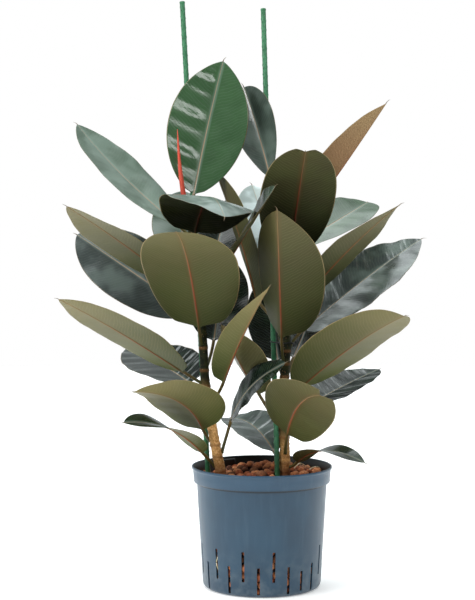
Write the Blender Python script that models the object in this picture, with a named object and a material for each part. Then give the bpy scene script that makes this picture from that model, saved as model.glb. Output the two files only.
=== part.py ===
"""Potted rubber plant: two Ficus elastica plants in one slotted plastic culture pot.

Frame: origin at the centre of the pot's underside, +Z up, the front is -Y.
Every length in the tables below is in millimetres and is turned to metres by MM.
A leaf is one closed body with its petiole: a petiole, a blade swept along its midrib
and a short drip tip.
"""

import math
from collections import namedtuple

import bmesh
import bpy
import numpy as np

MM = 0.001
GAP = 0.4            # clearance kept between touching pieces
SEED = 7

# ---------------------------------------------------------------- pot
POT_OUTER = (        # radius, height of the outer skin from the foot to the rim
    (84.0, 0.0), (90.6, 2.4), (92.3, 5.0), (93.0, 8.0), (94.0, 24.5), (94.7, 38.5),
    (95.2, 47.0), (96.6, 71.0), (102.2, 164.0), (106.6, 166.5), (107.7, 177.0),
    (108.6, 185.5), (110.0, 187.0), (110.0, 190.0))
POT_WALL = 2.0
POT_FLOOR = 2.6
SLOT_COUNT = 25
SLOT_FIRST = -4.0    # degrees from the front, counter-clockwise seen from above
SLOT_WIDTH = 2.7     # degrees
SLOT_LOW = (5.0, 47.0)
SLOT_HIGH = (24.5, 71.0)
SLOT_SHORT = (8.0, 38.5)
SHORT_SLOT = 3       # the one slot of the row that is shorter
GAUGE_TURN = 120.0   # degrees from +X to the water gauge bracket inside the rim
GAUGE_REACH = 5.5    # degrees each side of it
GAUGE_DEPTH = 4.0

# ---------------------------------------------------------------- clay pebbles
BED_LEVEL = 171.0
BED_HEAP = 14.0
BED_HEAP_AT = (8.0, 42.0)
BED_HEAP_SPREAD = 52.0
BED_ROUGH = 2.2
BED_RINGS = 10
BED_SIDES = 36

# ---------------------------------------------------------------- stems and stakes
LEFT_STEM = (
    (-62, -8, 112), (-63, -8, 178), (-69, -8, 201), (-77, -6, 246), (-89, -4, 322),
    (-93, -2, 400), (-100, 0, 505), (-116, 0, 588))
RIGHT_STEM = (
    (37, -5, 112), (36, -5, 178), (36, -5, 207), (35, -4, 246), (34, -3, 309),
    (39, 0, 378), (35, 0, 466), (25, 2, 544), (16, 4, 626))
STEM_FOOT_RADIUS = 8.6
STEM_TOP_RADIUS = 5.0
NODE_SWELL = 0.7
STEM_SIDES = 10
LEFT_STAKE = ((-75.9, -3.0, 16), (-126.5, 67.0, 924))
RIGHT_STAKE = ((28.8, -34.4, 16), (3.0, 75.0, 914))
STAKE_RADIUS = 4.0
STAKE_SIDES = 10
TIE_RADIUS = 0.9

# ---------------------------------------------------------------- leaves
PETIOLE_RADIUS = 2.5
RIB_DEPTH = 2.4
BLADE_DEPTH = 1.5
DRIP_TIP = 10.0
BLADE_STATIONS = (0.0, 0.05, 0.14, 0.28, 0.44, 0.6, 0.76, 0.89, 0.97, 1.0)

Leaf = namedtuple(
    "Leaf", "name stem height base middle tip face width fold twist outline via",
    defaults=((8, 8), 0, (0.46, 0.5, 0.78), None))
# height: where the petiole leaves the stem.  base, middle, tip: the midrib.
# face: the way the upper side looks.  fold: how far each half is turned up, degrees.
# outline: where the blade is widest, roundness of its base, bluntness of its tip.
LEAVES = (
    Leaf("left_leaf_01", "left", 188, (-92, -15, 211), (-145, -70, 258), (-208, -120, 272),
         (0, -0.2, 1), 62, (10, 10), -45),
    Leaf("left_leaf_02", "left", 210, (-48, -20, 264), (-19, -54, 318), (34, -88, 359),
         (-0.85, -0.3, 0.5), 72, (5, 5)),
    Leaf("left_leaf_03", "left", 228, (-92, -15, 248), (-127, -84, 300), (-191, -142, 321),
         (0.1, 0.1, 1), 116, (30, -6), 0, (0.44, 0.42, 0.58)),
    Leaf("left_leaf_04", "left", 290, (-60, -22, 323), (-28, -90, 405), (8, -154, 476),
         (0, 0.3, 1), 66, (70, 10), 0, (0.32, 0.42, 1.3)),
    Leaf("left_leaf_05", "left", 300, (-113, 15, 318), (-170, 95, 345), (-226, 170, 362),
         (0, -0.4, 1), 125, (10, 10), 0, (0.38, 0.5, 1.2)),
    Leaf("left_leaf_06", "left", 320, (-122, -15, 338), (-218, -65, 404), (-305, -110, 456),
         (0.35, 0.35, 1), 113, (12, -4)),
    Leaf("left_leaf_07", "left", 345, (-76, 28, 384), (-68, 80, 450), (-62, 132, 520),
         (0, -0.3, 1), 98),
    Leaf("left_leaf_08", "left", 380, (-98, -25, 408), (-111, -115, 507), (-125, -200, 556),
         (0.05, 0.2, 1), 148, (5, 5), 0, (0.45, 0.36, 0.8)),
    Leaf("left_leaf_09", "left", 420, (-112, 15, 430), (-211, 50, 496), (-298, 85, 552),
         (0.1, -1, 0.5), 118),
    Leaf("left_leaf_10", "left", 450, (-135, -20, 478), (-213, -75, 540), (-290, -130, 594),
         (0, 0, 1), 120, (0, -10)),
    Leaf("left_leaf_11", "left", 455, (-72, -20, 482), (-27, -92, 552), (16, -162, 622),
         (-0.84, 0, 0.54), 95, (12, 12), 25),
    Leaf("left_leaf_12", "left", 465, (-76, 38, 495), (-67, 84, 552), (-47, 126, 612),
         (0, -0.3, 1), 70, (12, 12)),
    Leaf("left_leaf_13", "left", 480, (-118, 52, 503), (-130, 110, 568), (-129, 160, 625),
         (0, -0.3, 1), 98, via=(-116, 18, 488)),
    Leaf("left_leaf_14", "left", 530, (-104, -20, 555), (-81, -110, 607), (-57, -188, 578),
         (0.15, 0.1, 1), 145, (-8, -8), 0, (0.5, 0.4, 0.8)),
    Leaf("left_leaf_15", "left", 550, (-135, 5, 570), (-223, 50, 648), (-297, 90, 730),
         (0.2, -0.35, 1), 100),
    Leaf("left_leaf_16", "left", 578, (-107, 5, 614), (-86, 33, 720), (-61, 50, 827),
         (0.05, -1, 0.2), 127, (10, 10), 0, (0.5, 0.7, 0.8)),
    Leaf("right_leaf_01", "right", 188, (55, -15, 197), (97, -40, 219), (157, -60, 203),
         (0, 0, 1), 62, (8, 8), 44),
    Leaf("right_leaf_02", "right", 200, (19, 12, 210), (-16, 75, 245), (-55, 130, 248),
         (0.1, -0.4, 1), 92, (10, 10)),
    Leaf("right_leaf_03", "right", 210, (39, -36, 243), (54, -110, 297), (81, -172, 319),
         (0.7, 0.2, 1), 112, (0, 0), 0, (0.5, 0.34, 0.6)),
    Leaf("right_leaf_04", "right", 240, (-4, 12, 300), (-36, -8, 355), (-62, -26, 412),
         (0.1, 0.1, 1), 106, (20, 24), via=(18, 16, 264)),
    Leaf("right_leaf_05", "right", 255, (60, 10, 276), (133, 70, 308), (196, 130, 330),
         (-0.2, -0.3, 1), 100, (10, 10), 0, (0.4, 0.5, 0.9)),
    Leaf("right_leaf_06", "right", 285, (59, -15, 314), (138, -85, 386), (207, -145, 433),
         (0, 0, 1), 126, (-6, 32), 0, (0.46, 0.45, 0.52)),
    Leaf("right_leaf_07", "right", 325, (26, 28, 352), (18, 80, 415), (12, 135, 486),
         (0, -0.2, 1), 85, via=(30, 14, 338)),
    Leaf("right_leaf_08", "right", 335, (50, 15, 358), (77, 70, 415), (99, 120, 469),
         (0, -0.3, 1), 90),
    Leaf("right_leaf_09", "right", 355, (30, -22, 392), (24, -106, 499), (19, -174, 588),
         (0, 0.2, 1), 138, (5, 62), 0, (0.4, 0.36, 1.0)),
    Leaf("right_leaf_10", "right", 375, (63, 10, 400), (160, 40, 478), (257, 70, 545),
         (-0.2, -0.4, 1), 132, (10, 0)),
    Leaf("right_leaf_11", "right", 405, (-8, 15, 450), (-33, 14, 545), (-71, 36, 650),
         (0.95, 0.3, 0.3), 98, (10, 10), 0, (0.5, 0.6, 0.8), (16, -2, 420)),
    Leaf("right_leaf_12", "right", 415, (62, -15, 450), (134, -65, 533), (203, -115, 597),
         (0, 0, 1), 94, (-1, 8), 0, (0.38, 0.5, 1.3)),
    Leaf("right_leaf_13", "right", 470, (17, 52, 505), (4, 112, 572), (-14, 172, 635),
         (0, 0, 1), 96, via=(30, 26, 484)),
    Leaf("right_leaf_14", "right", 490, (42, -20, 520), (54, -110, 620), (59, -190, 671),
         (0.05, 0, 1), 114, (5, 5), 0, (0.38, 0.42, 0.75)),
    Leaf("right_leaf_15", "right", 505, (45, 22, 530), (132, 90, 580), (177, 148, 606),
         (0, -0.6, 1), 88, (10, 10), 0, (0.5, 0.5, 0.6)),
    Leaf("right_leaf_16", "right", 540, (64, 0, 572), (130, -20, 665), (189, -40, 753),
         (-0.6, 0.5, 0.4), 84, (60, 30), 0, (0.42, 0.55, 1.0)),
    Leaf("right_leaf_17", "right", 606, (13, 22, 642), (-6, 58, 718), (-28, 80, 789),
         (0, -1, 0.2), 86, (26, 50), 0, (0.58, 0.8, 0.55)),
)


# ---------------------------------------------------------------- small helpers
def clear_scene():
    """Remove every object so the file starts empty."""
    for obj in list(bpy.data.objects):
        bpy.data.objects.remove(obj, do_unlink=True)


def material(name, colour, roughness, metallic=0.0):
    """A Principled material with one colour, roughness and metallic value."""
    found = bpy.data.materials.get(name)
    if found:
        return found
    made = bpy.data.materials.new(name)
    made.use_nodes = True
    shader = made.node_tree.nodes["Principled BSDF"]
    shader.inputs["Base Color"].default_value = (*colour, 1.0)
    shader.inputs["Roughness"].default_value = roughness
    shader.inputs["Metallic"].default_value = metallic
    made.diffuse_color = (*colour, 1.0)
    return made


def add_body(name, points, faces, mat, smooth=True):
    """One named object from points in millimetres, with faces turned outward."""
    mesh = bpy.data.meshes.new(name)
    mesh.from_pydata([tuple(p * MM) for p in np.asarray(points, float)], [], faces)
    work = bmesh.new()
    work.from_mesh(mesh)
    bmesh.ops.triangulate(work, faces=work.faces)
    bmesh.ops.recalc_face_normals(work, faces=work.faces)
    work.to_mesh(mesh)
    work.free()
    mesh.materials.append(mat)
    mesh.polygons.foreach_set("use_smooth", [smooth] * len(mesh.polygons))
    obj = bpy.data.objects.new(name, mesh)
    bpy.context.scene.collection.objects.link(obj)
    return obj


def unit(vectors):
    """Vectors made one long."""
    vectors = np.asarray(vectors, float)
    return vectors / np.maximum(np.linalg.norm(vectors, axis=-1, keepdims=True), 1e-9)


def tube_faces(rings, sides):
    """Quads between successive rings, closed at both ends by one face each."""
    faces = []
    for r in range(rings - 1):
        for s in range(sides):
            t = (s + 1) % sides
            a, b = r * sides, (r + 1) * sides
            faces.append((a + s, a + t, b + t, b + s))
    faces.append(tuple(range(sides - 1, -1, -1)))
    faces.append(tuple(range((rings - 1) * sides, rings * sides)))
    return faces


def circles(path, radii, sides, start=(1.0, 0.0, 0.0)):
    """Rings of points round a path, each ring square to it."""
    path = np.asarray(path, float)
    along = unit(np.gradient(path, axis=0))
    across = unit(np.asarray(start) - (along @ np.asarray(start))[:, None] * along)
    other = np.cross(along, across)
    turn = np.linspace(0, 2 * math.pi, sides, endpoint=False)
    radii = np.broadcast_to(np.asarray(radii, float), len(path))[:, None, None]
    ring = across[:, None] * np.cos(turn)[None, :, None]
    ring = ring + other[:, None] * np.sin(turn)[None, :, None]
    return path[:, None] + radii * ring


# ---------------------------------------------------------------- stems
def stem_path(stem):
    """The listed points of a stem's axis as an array."""
    return np.array(LEFT_STEM if stem == "left" else RIGHT_STEM, float)


def stem_centre(stem, height):
    """The axis point of a stem at a height."""
    path = stem_path(stem)
    x = np.interp(height, path[:, 2], path[:, 0])
    y = np.interp(height, path[:, 2], path[:, 1])
    return np.array([x, y, height])


def stem_radius(stem, height):
    """The plain radius of a stem at a height, without the swelling at its nodes."""
    path = stem_path(stem)
    share = (height - path[0, 2]) / (path[-1, 2] - path[0, 2])
    return STEM_FOOT_RADIUS + (STEM_TOP_RADIUS - STEM_FOOT_RADIUS) * min(max(share, 0), 1)


def build_stem(stem, mat):
    """A tapering stem, a little thicker at each node where a leaf grows."""
    path = stem_path(stem)
    nodes = [leaf.height - 5 for leaf in LEAVES if leaf.stem == stem]
    heights = set(path[:, 2]) | set(nodes)
    heights |= {n - 7 for n in nodes} | {n + 7 for n in nodes}
    low, high = path[0, 2], path[-1, 2]
    heights = sorted(h for h in heights if low <= h <= high)
    kept = [heights[0]]
    for h in heights[1:]:
        if h - kept[-1] >= 4.0:
            kept.append(h)
    centres = np.array([stem_centre(stem, h) for h in kept])
    radii = [stem_radius(stem, h) + NODE_SWELL * (h in nodes) for h in kept]
    points = circles(centres, radii, STEM_SIDES).reshape(-1, 3)
    return add_body(f"{stem}_stem", points, tube_faces(len(kept), STEM_SIDES), mat)


# ---------------------------------------------------------------- leaves
def half_outline(share, outline):
    """Half width of a blade from base to tip, one at its widest."""
    belly, round_base, blunt_tip = outline
    base = (1 - (1 - np.clip(share / belly, 0, 1)) ** 2) ** round_base
    tip = (1 - np.clip((share - belly) / (1 - belly), 0, 1) ** 2.2) ** blunt_tip
    return base * tip


def midrib(leaf, share):
    """Points and directions along the midrib, a quadratic arc through three points."""
    base, middle, tip = (np.array(p, float) for p in (leaf.base, leaf.middle, leaf.tip))
    bend = 2 * middle - (base + tip) / 2
    share = np.asarray(share, float)[:, None]
    points = base * (1 - share) ** 2 + 2 * bend * share * (1 - share) + tip * share ** 2
    along = 2 * (bend - base) * (1 - share) + 2 * (tip - bend) * share
    return points, unit(along)


def blade_frame(leaf, along, share):
    """Upper-side direction and sideways direction at each place on the midrib."""
    face = np.array(leaf.face, float)
    up = unit(face - (along @ face)[:, None] * along)
    side = np.cross(along, up)
    turn = np.radians(leaf.twist) * (np.asarray(share) - 0.5)[:, None]
    up = up * np.cos(turn) + side * np.sin(turn)
    return up, np.cross(along, up)


def section(centre, up, side, half, fold, depth, rib):
    """Eight points round one leaf section: edge, upper side, edge, under side."""
    left, right = (math.radians(f) for f in fold)
    out_left = -side * math.cos(left) + up * math.sin(left)
    out_right = side * math.cos(right) + up * math.sin(right)
    top = up * depth * 0.5
    return [
        centre + out_left * half,
        centre + out_left * half * 0.5 + top,
        centre + top,
        centre + out_right * half * 0.5 + top,
        centre + out_right * half,
        centre + out_right * half * 0.5 - top,
        centre + top - up * rib,
        centre + out_left * half * 0.5 - top]


def round_section(centre, up, side, radius):
    """Eight points of a circle in the same order as a leaf section."""
    turns = [math.pi - k * math.pi / 4 for k in range(8)]
    return [centre + radius * (side * math.cos(t) + up * math.sin(t)) for t in turns]


def petiole_path(leaf, direction):
    """Four points from just off the stem to the base of the blade."""
    base = np.array(leaf.base, float)
    centre = stem_centre(leaf.stem, leaf.height)
    reach = np.linalg.norm(base - centre)
    bend = np.array(leaf.via, float) if leaf.via else base - direction * reach * 0.5
    away = bend - centre
    flat = unit(np.array([away[0], away[1], 0.0]))
    slope = abs(unit(away)[2])
    gap = stem_radius(leaf.stem, leaf.height) + NODE_SWELL + GAP + 0.2
    start = centre + flat * (gap + PETIOLE_RADIUS * slope)
    share = np.array([0.0, 0.3, 0.65])[:, None]
    return start * (1 - share) ** 2 + 2 * bend * share * (1 - share) + base * share ** 2


def build_leaf(leaf, mat):
    """One leaf: round petiole, folded blade with a midrib, and a drip tip."""
    share = np.array(BLADE_STATIONS)
    centres, along = midrib(leaf, share)
    up, side = blade_frame(leaf, along, share)
    stalk = petiole_path(leaf, along[0])
    ahead = unit(np.diff(np.vstack([stalk, centres[:1]]), axis=0))
    rings = []
    for centre, way in zip(stalk, ahead):
        lift = unit(up[0] - (up[0] @ way) * way)
        rings.append(round_section(centre, lift, np.cross(way, lift), PETIOLE_RADIUS))
    half = half_outline(share, leaf.outline) * leaf.width / 2
    for k, s in enumerate(share):
        if s == 0.0:
            rings.append(round_section(centres[k], up[k], side[k], PETIOLE_RADIUS))
            continue
        width = max(half[k], 1.6)
        slim = 1 - 0.45 * s
        rings.append(section(
            centres[k], up[k], side[k], width, leaf.fold, BLADE_DEPTH * slim, RIB_DEPTH * slim))
    end = centres[-1] + along[-1] * DRIP_TIP - up[-1] * 1.5
    rings.append(round_section(end, up[-1], side[-1], 0.5))
    points = np.array(rings).reshape(-1, 3)
    return add_body(leaf.name, points, tube_faces(len(rings), 8), mat)


def build_sheath(name, foot, tip, mat):
    """A pointed bud sheath at the top of a stem."""
    foot, tip = np.array(foot, float), np.array(tip, float)
    share = np.array([0.0, 0.12, 0.45, 0.8, 1.0])
    radii = np.array([3.4, 4.1, 3.2, 1.6, 0.4])
    points = circles(foot + (tip - foot) * share[:, None], radii, 8).reshape(-1, 3)
    return add_body(name, points, tube_faces(len(share), 8), mat)


# ---------------------------------------------------------------- stakes and ties
def build_stake(name, ends, mat):
    """A straight coated stake with a small lip at its top end."""
    foot, head = (np.array(e, float) for e in ends)
    way = unit(head - foot)
    length = np.linalg.norm(head - foot)
    stops = np.array([0.0, length - 4.0, length - 3.0, length - 0.8, length])
    radii = np.array([1.0, 1.0, 1.12, 1.12, 0.8]) * STAKE_RADIUS
    points = circles(foot + way * stops[:, None], radii, STAKE_SIDES).reshape(-1, 3)
    return add_body(name, points, tube_faces(len(stops), STAKE_SIDES), mat)


def stake_centre(ends, height):
    """The axis point of a stake at a height."""
    foot, head = (np.array(e, float) for e in ends)
    return foot + (head - foot) * (height - foot[2]) / (head[2] - foot[2])


def build_tie(stem, ends, height, knot_turn, mat):
    """A thin wire loop round a stake and its stem, thicker at its knot."""
    first, second = stake_centre(ends, height), stem_centre(stem, height)
    far = STAKE_RADIUS + GAP + TIE_RADIUS + 0.4
    near = stem_radius(stem, height) + NODE_SWELL + GAP + TIE_RADIUS + 0.4
    line = unit(second - first)
    angle = math.atan2(line[1], line[0])
    apart = np.linalg.norm((second - first)[:2])
    lean = math.acos((far - near) / apart)
    path, radii = [], []
    for turn in np.linspace(lean, 2 * math.pi - lean, 6):
        path.append(first + far * np.array([math.cos(angle + turn), math.sin(angle + turn), 0]))
        radii.append(TIE_RADIUS)
    for turn in np.linspace(-lean, lean, 9):
        knot = abs(turn - knot_turn) < 0.25
        reach = near + (1.0 if knot else 0.0)
        path.append(second + reach * np.array([math.cos(angle + turn), math.sin(angle + turn), 0]))
        radii.append(1.9 if knot else TIE_RADIUS)
    path = np.array(path)
    along = unit(np.roll(path, -1, axis=0) - np.roll(path, 1, axis=0))
    out = np.cross(along, np.array([0.0, 0.0, 1.0]))
    turn = np.linspace(0, 2 * math.pi, 6, endpoint=False)
    ring = out[:, None] * np.cos(turn)[None, :, None]
    ring = ring + np.array([0.0, 0.0, 1.0]) * np.sin(turn)[None, :, None]
    points = (path[:, None] + np.array(radii)[:, None, None] * ring).reshape(-1, 3)
    count = len(path)
    faces = []
    for r in range(count):
        n = (r + 1) % count
        for s in range(6):
            t = (s + 1) % 6
            faces.append((r * 6 + s, r * 6 + t, n * 6 + t, n * 6 + s))
    return add_body(f"{stem}_tie", points, faces, mat)


# ---------------------------------------------------------------- pot
def slot_rows(column, low, high):
    """True where a wall cell between two heights is open in a slot column."""
    index, place = divmod(column, 3)
    if place:
        return False
    turns = index if index <= SLOT_COUNT // 2 else SLOT_COUNT - index
    bottom, top = SLOT_HIGH if turns % 2 else SLOT_LOW
    if index == SHORT_SLOT:
        bottom, top = SLOT_SHORT
    return low >= bottom - 0.1 and high <= top + 0.1


def wall_angles():
    """Angles of the wall's columns: a narrow slot column, then two wide ones."""
    pitch = 360.0 / SLOT_COUNT
    wide = (pitch - SLOT_WIDTH) / 2
    angles = []
    for k in range(SLOT_COUNT):
        start = SLOT_FIRST + k * pitch - SLOT_WIDTH / 2
        angles += [start, start + SLOT_WIDTH, start + SLOT_WIDTH + wide]
    return np.radians(np.array(angles) - 90.0)


def inner_profile():
    """Radius and height of the pot's inner skin, row by row with the outer skin."""
    rows = []
    for k, (radius, height) in enumerate(POT_OUTER):
        rows.append([radius - POT_WALL, height])
    rows[0] = [82.5, POT_FLOOR]
    rows[1] = [88.6, POT_FLOOR + 1.2]
    rows[-5] = [104.4, 168.0]
    rows[-2] = [107.6, 187.0]
    rows[-1] = [108.0, POT_OUTER[-1][1]]
    return rows


def build_pot(mat):
    """The slotted pot: outer and inner skins joined at the rim and round each slot."""
    angles = wall_angles()
    columns, rows = len(angles), len(POT_OUTER)
    skins = []
    for profile in (POT_OUTER, inner_profile()):
        profile = np.array(profile, float)
        grid = np.zeros((rows, columns, 3))
        grid[..., 0] = profile[:, :1] * np.cos(angles)
        grid[..., 1] = profile[:, :1] * np.sin(angles)
        grid[..., 2] = profile[:, 1:]
        skins.append(grid.reshape(-1, 3))
    points = np.vstack([*skins, [[0, 0, 0]], [[0, 0, POT_FLOOR]]])
    shift, foot, floor = rows * columns, 2 * rows * columns, 2 * rows * columns + 1
    is_open = np.zeros((rows - 1, columns), bool)
    for r in range(rows - 1):
        for c in range(columns):
            is_open[r, c] = slot_rows(c, POT_OUTER[r][1], POT_OUTER[r + 1][1])
    faces = []
    for r in range(rows - 1):
        for c in range(columns):
            d = (c + 1) % columns
            a, b = r * columns + c, r * columns + d
            e, f = a + columns, b + columns
            if not is_open[r, c]:
                faces.append((a, b, f, e))
                faces.append((a + shift, e + shift, f + shift, b + shift))
                continue
            if not is_open[r - 1, c]:
                faces.append((a, b, b + shift, a + shift))
            if not is_open[r + 1, c]:
                faces.append((e, f, f + shift, e + shift))
            faces.append((a, e, e + shift, a + shift))
            faces.append((b, f, f + shift, b + shift))
    top = (rows - 1) * columns
    for c in range(columns):
        d = (c + 1) % columns
        faces.append((top + c, top + d, top + d + shift, top + c + shift))
        faces.append((c, foot, d))
        faces.append((c + shift, d + shift, floor))
    pot = add_body("pot", points, faces, mat)
    add_gauge_bracket(pot)
    return pot


def add_gauge_bracket(pot):
    """Raise the small water gauge bracket from the inner wall under the rim."""
    work = bmesh.new()
    work.from_mesh(pot.data)
    middle = math.radians(GAUGE_TURN)
    picked = []
    for face in work.faces:
        spot = face.calc_center_median() / MM
        radius = math.hypot(spot.x, spot.y)
        apart = math.atan2(math.sin(math.atan2(spot.y, spot.x) - middle),
                           math.cos(math.atan2(spot.y, spot.x) - middle))
        inward = face.normal.x * spot.x + face.normal.y * spot.y < 0
        beside = abs(apart) < math.radians(GAUGE_REACH)
        if inward and 177 < spot.z < 185.5 and radius < 107.5 and beside:
            picked.append(face)
    made = bmesh.ops.extrude_face_region(work, geom=picked)
    moved = [g for g in made["geom"] if isinstance(g, bmesh.types.BMVert)]
    inward = np.array([-math.cos(middle), -math.sin(middle), 0.0]) * GAUGE_DEPTH * MM
    bmesh.ops.translate(work, verts=moved, vec=inward)
    bmesh.ops.delete(work, geom=picked, context="FACES")
    bmesh.ops.recalc_face_normals(work, faces=work.faces)
    work.to_mesh(pot.data)
    work.free()


# ---------------------------------------------------------------- clay pebbles
def wall_inside(height):
    """Inner radius of the pot at a height."""
    rows = np.array(inner_profile())
    return np.interp(height, rows[:, 1], rows[:, 0])


def bed_height(x, y):
    """Mean level of the pebbles at a place: heaped behind the middle, low at the left."""
    heap = np.exp(-((x - BED_HEAP_AT[0]) ** 2 + (y - BED_HEAP_AT[1]) ** 2) / BED_HEAP_SPREAD ** 2)
    return BED_LEVEL + BED_HEAP * heap + 0.03 * x


def build_pebbles(mat):
    """The bed of clay pebbles as one body with a rough top."""
    rng = np.random.default_rng(SEED)
    turn = np.linspace(0, 2 * math.pi, BED_SIDES, endpoint=False)
    points = [np.array([0.0, 0.0, bed_height(0, 0)])]
    rim = (wall_inside(168.0) - GAP - 0.8) * math.cos(math.pi / 60)
    for radius in np.linspace(rim / BED_RINGS, rim, BED_RINGS):
        x, y = radius * np.cos(turn), radius * np.sin(turn)
        rough = rng.uniform(-BED_ROUGH, BED_ROUGH, BED_SIDES)
        last = radius > rim - 1
        z = np.where(last, 168.4 + 0 * x, bed_height(x, y) + rough)
        points.extend(np.stack([x, y, z], axis=1))
    for height in (164.0, 60.0, 12.0, POT_FLOOR + GAP):
        radius = (wall_inside(height) - GAP - 0.5) * math.cos(math.pi / 60)
        radius = min(radius, 84.0) if height < 10 else radius
        ring = np.stack([radius * np.cos(turn), radius * np.sin(turn), 0 * turn + height], axis=1)
        points.extend(ring)
    points.append(np.array([0.0, 0.0, POT_FLOOR + GAP]))
    faces = []
    n = BED_SIDES
    for s in range(n):
        faces.append((0, 1 + s, 1 + (s + 1) % n))
    levels = BED_RINGS + 4
    for r in range(levels - 1):
        a, b = 1 + r * n, 1 + (r + 1) * n
        for s in range(n):
            t = (s + 1) % n
            faces.append((a + s, b + s, b + t, a + t))
    last, middle = 1 + (levels - 1) * n, len(points) - 1
    for s in range(n):
        faces.append((last + s, middle, last + (s + 1) % n))
    bed = add_body("clay_pebbles", points, faces, mat, smooth=False)
    return bed


def bore(bed, path, radius, label):
    """Cut a clear round bore through the bed along a path."""
    path = np.asarray(path, float)
    points = circles(path, radius, 12).reshape(-1, 3)
    cutter = add_body(label, points, tube_faces(len(path), 12), bed.data.materials[0])
    cutter.hide_render = True
    cutter.display_type = "WIRE"
    cut = bed.modifiers.new(label, "BOOLEAN")
    cut.operation = "DIFFERENCE"
    cut.solver = "EXACT"
    cut.object = cutter


def bore_bed(bed):
    """Bores for both stems and both stakes, open at the top of the bed."""
    for stem in ("left", "right"):
        path = stem_path(stem)[:3].copy()
        path[0, 2] -= GAP
        bore(bed, path, (STEM_FOOT_RADIUS + NODE_SWELL + GAP) / math.cos(math.pi / 12),
             f"cut_{stem}_stem")
    for stem, ends in (("left", LEFT_STAKE), ("right", RIGHT_STAKE)):
        foot = stake_centre(ends, ends[0][2] - 1.2)
        head = stake_centre(ends, 215.0)
        bore(bed, [foot, head], (STAKE_RADIUS + GAP) / math.cos(math.pi / 12),
             f"cut_{stem}_stake")


def main():
    """Build every piece."""
    clear_scene()
    slate = material("pot_slate_plastic", (0.105, 0.16, 0.225), 0.42)
    clay = material("fired_clay", (0.33, 0.12, 0.062), 0.85)
    bark = material("young_bark", (0.36, 0.22, 0.09), 0.6)
    coat = material("green_stake_coating", (0.08, 0.22, 0.11), 0.45)
    wire = material("black_tie_wire", (0.02, 0.022, 0.022), 0.5)
    sheath = material("coral_bud_sheath", (0.72, 0.09, 0.045), 0.45)
    green = material("leaf_dark_green", (0.045, 0.085, 0.07), 0.3)
    build_pot(slate)
    bed = build_pebbles(clay)
    bore_bed(bed)
    build_stem("left", bark)
    build_stem("right", bark)
    build_stake("left_stake", LEFT_STAKE, coat)
    build_stake("right_stake", RIGHT_STAKE, coat)
    build_tie("left", LEFT_STAKE, 440.0, 0.0, wire)
    build_tie("right", RIGHT_STAKE, 383.0, 0.0, wire)
    build_sheath("left_bud_sheath", (-118.0, -1.0, 588.8), (-131.5, -8, 716), sheath)
    build_sheath("right_bud_sheath", (16.0, 4.6, 627.6), (17.5, -5, 663), sheath)
    for leaf in LEAVES:
        build_leaf(leaf, green)


main()
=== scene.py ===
"""Looks of a potted rubber plant: two Ficus elastica in a slotted culture pot.

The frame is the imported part: origin at the centre of the pot's underside, +Z up, the
front is -Y.  The tables hold millimetres and MM turns them to metres.
"""
import math
from collections import namedtuple

import bmesh
import bpy
import numpy as np
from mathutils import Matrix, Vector


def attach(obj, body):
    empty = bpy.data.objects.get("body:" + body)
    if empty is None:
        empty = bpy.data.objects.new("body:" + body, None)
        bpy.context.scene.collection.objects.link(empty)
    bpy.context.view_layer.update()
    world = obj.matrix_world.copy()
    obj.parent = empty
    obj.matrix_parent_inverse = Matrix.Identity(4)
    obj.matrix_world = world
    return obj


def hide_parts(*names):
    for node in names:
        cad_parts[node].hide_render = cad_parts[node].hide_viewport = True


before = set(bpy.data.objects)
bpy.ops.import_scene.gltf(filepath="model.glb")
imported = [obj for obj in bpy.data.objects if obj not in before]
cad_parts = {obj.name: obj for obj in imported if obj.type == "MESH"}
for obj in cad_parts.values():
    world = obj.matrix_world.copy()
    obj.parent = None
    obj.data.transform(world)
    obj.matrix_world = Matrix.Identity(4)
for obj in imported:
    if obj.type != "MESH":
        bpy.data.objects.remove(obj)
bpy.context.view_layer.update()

bl_info = {
    "name": "Potted rubber plant",
    "version": (1, 0, 0),
    "blender": (4, 5, 0),
    "location": "3D View > Sidebar > Rubber plant",
    "description": "Builds a two-stemmed rubber plant in its slotted culture pot",
    "category": "Add Mesh",
}

MM = 0.001
GOLDEN_TURN = math.pi * (3 - math.sqrt(5))
SMOOTH = {"interpolation_type": "SMOOTHSTEP"}

# ------------------------------------------------------------ leaves (mm, degrees)
Leaf = namedtuple(
    "Leaf", "name stem height base middle tip face width fold twist outline via "
    "tone wave swell lobe bloom gloss",
    defaults=((8, 8), 0, (0.46, 0.5, 0.78), None, (0.5, 0.2, 0), 1.0, (0.3, 0.3), 0.0, 0.0,
              (1.0, 1.0)))
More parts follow.
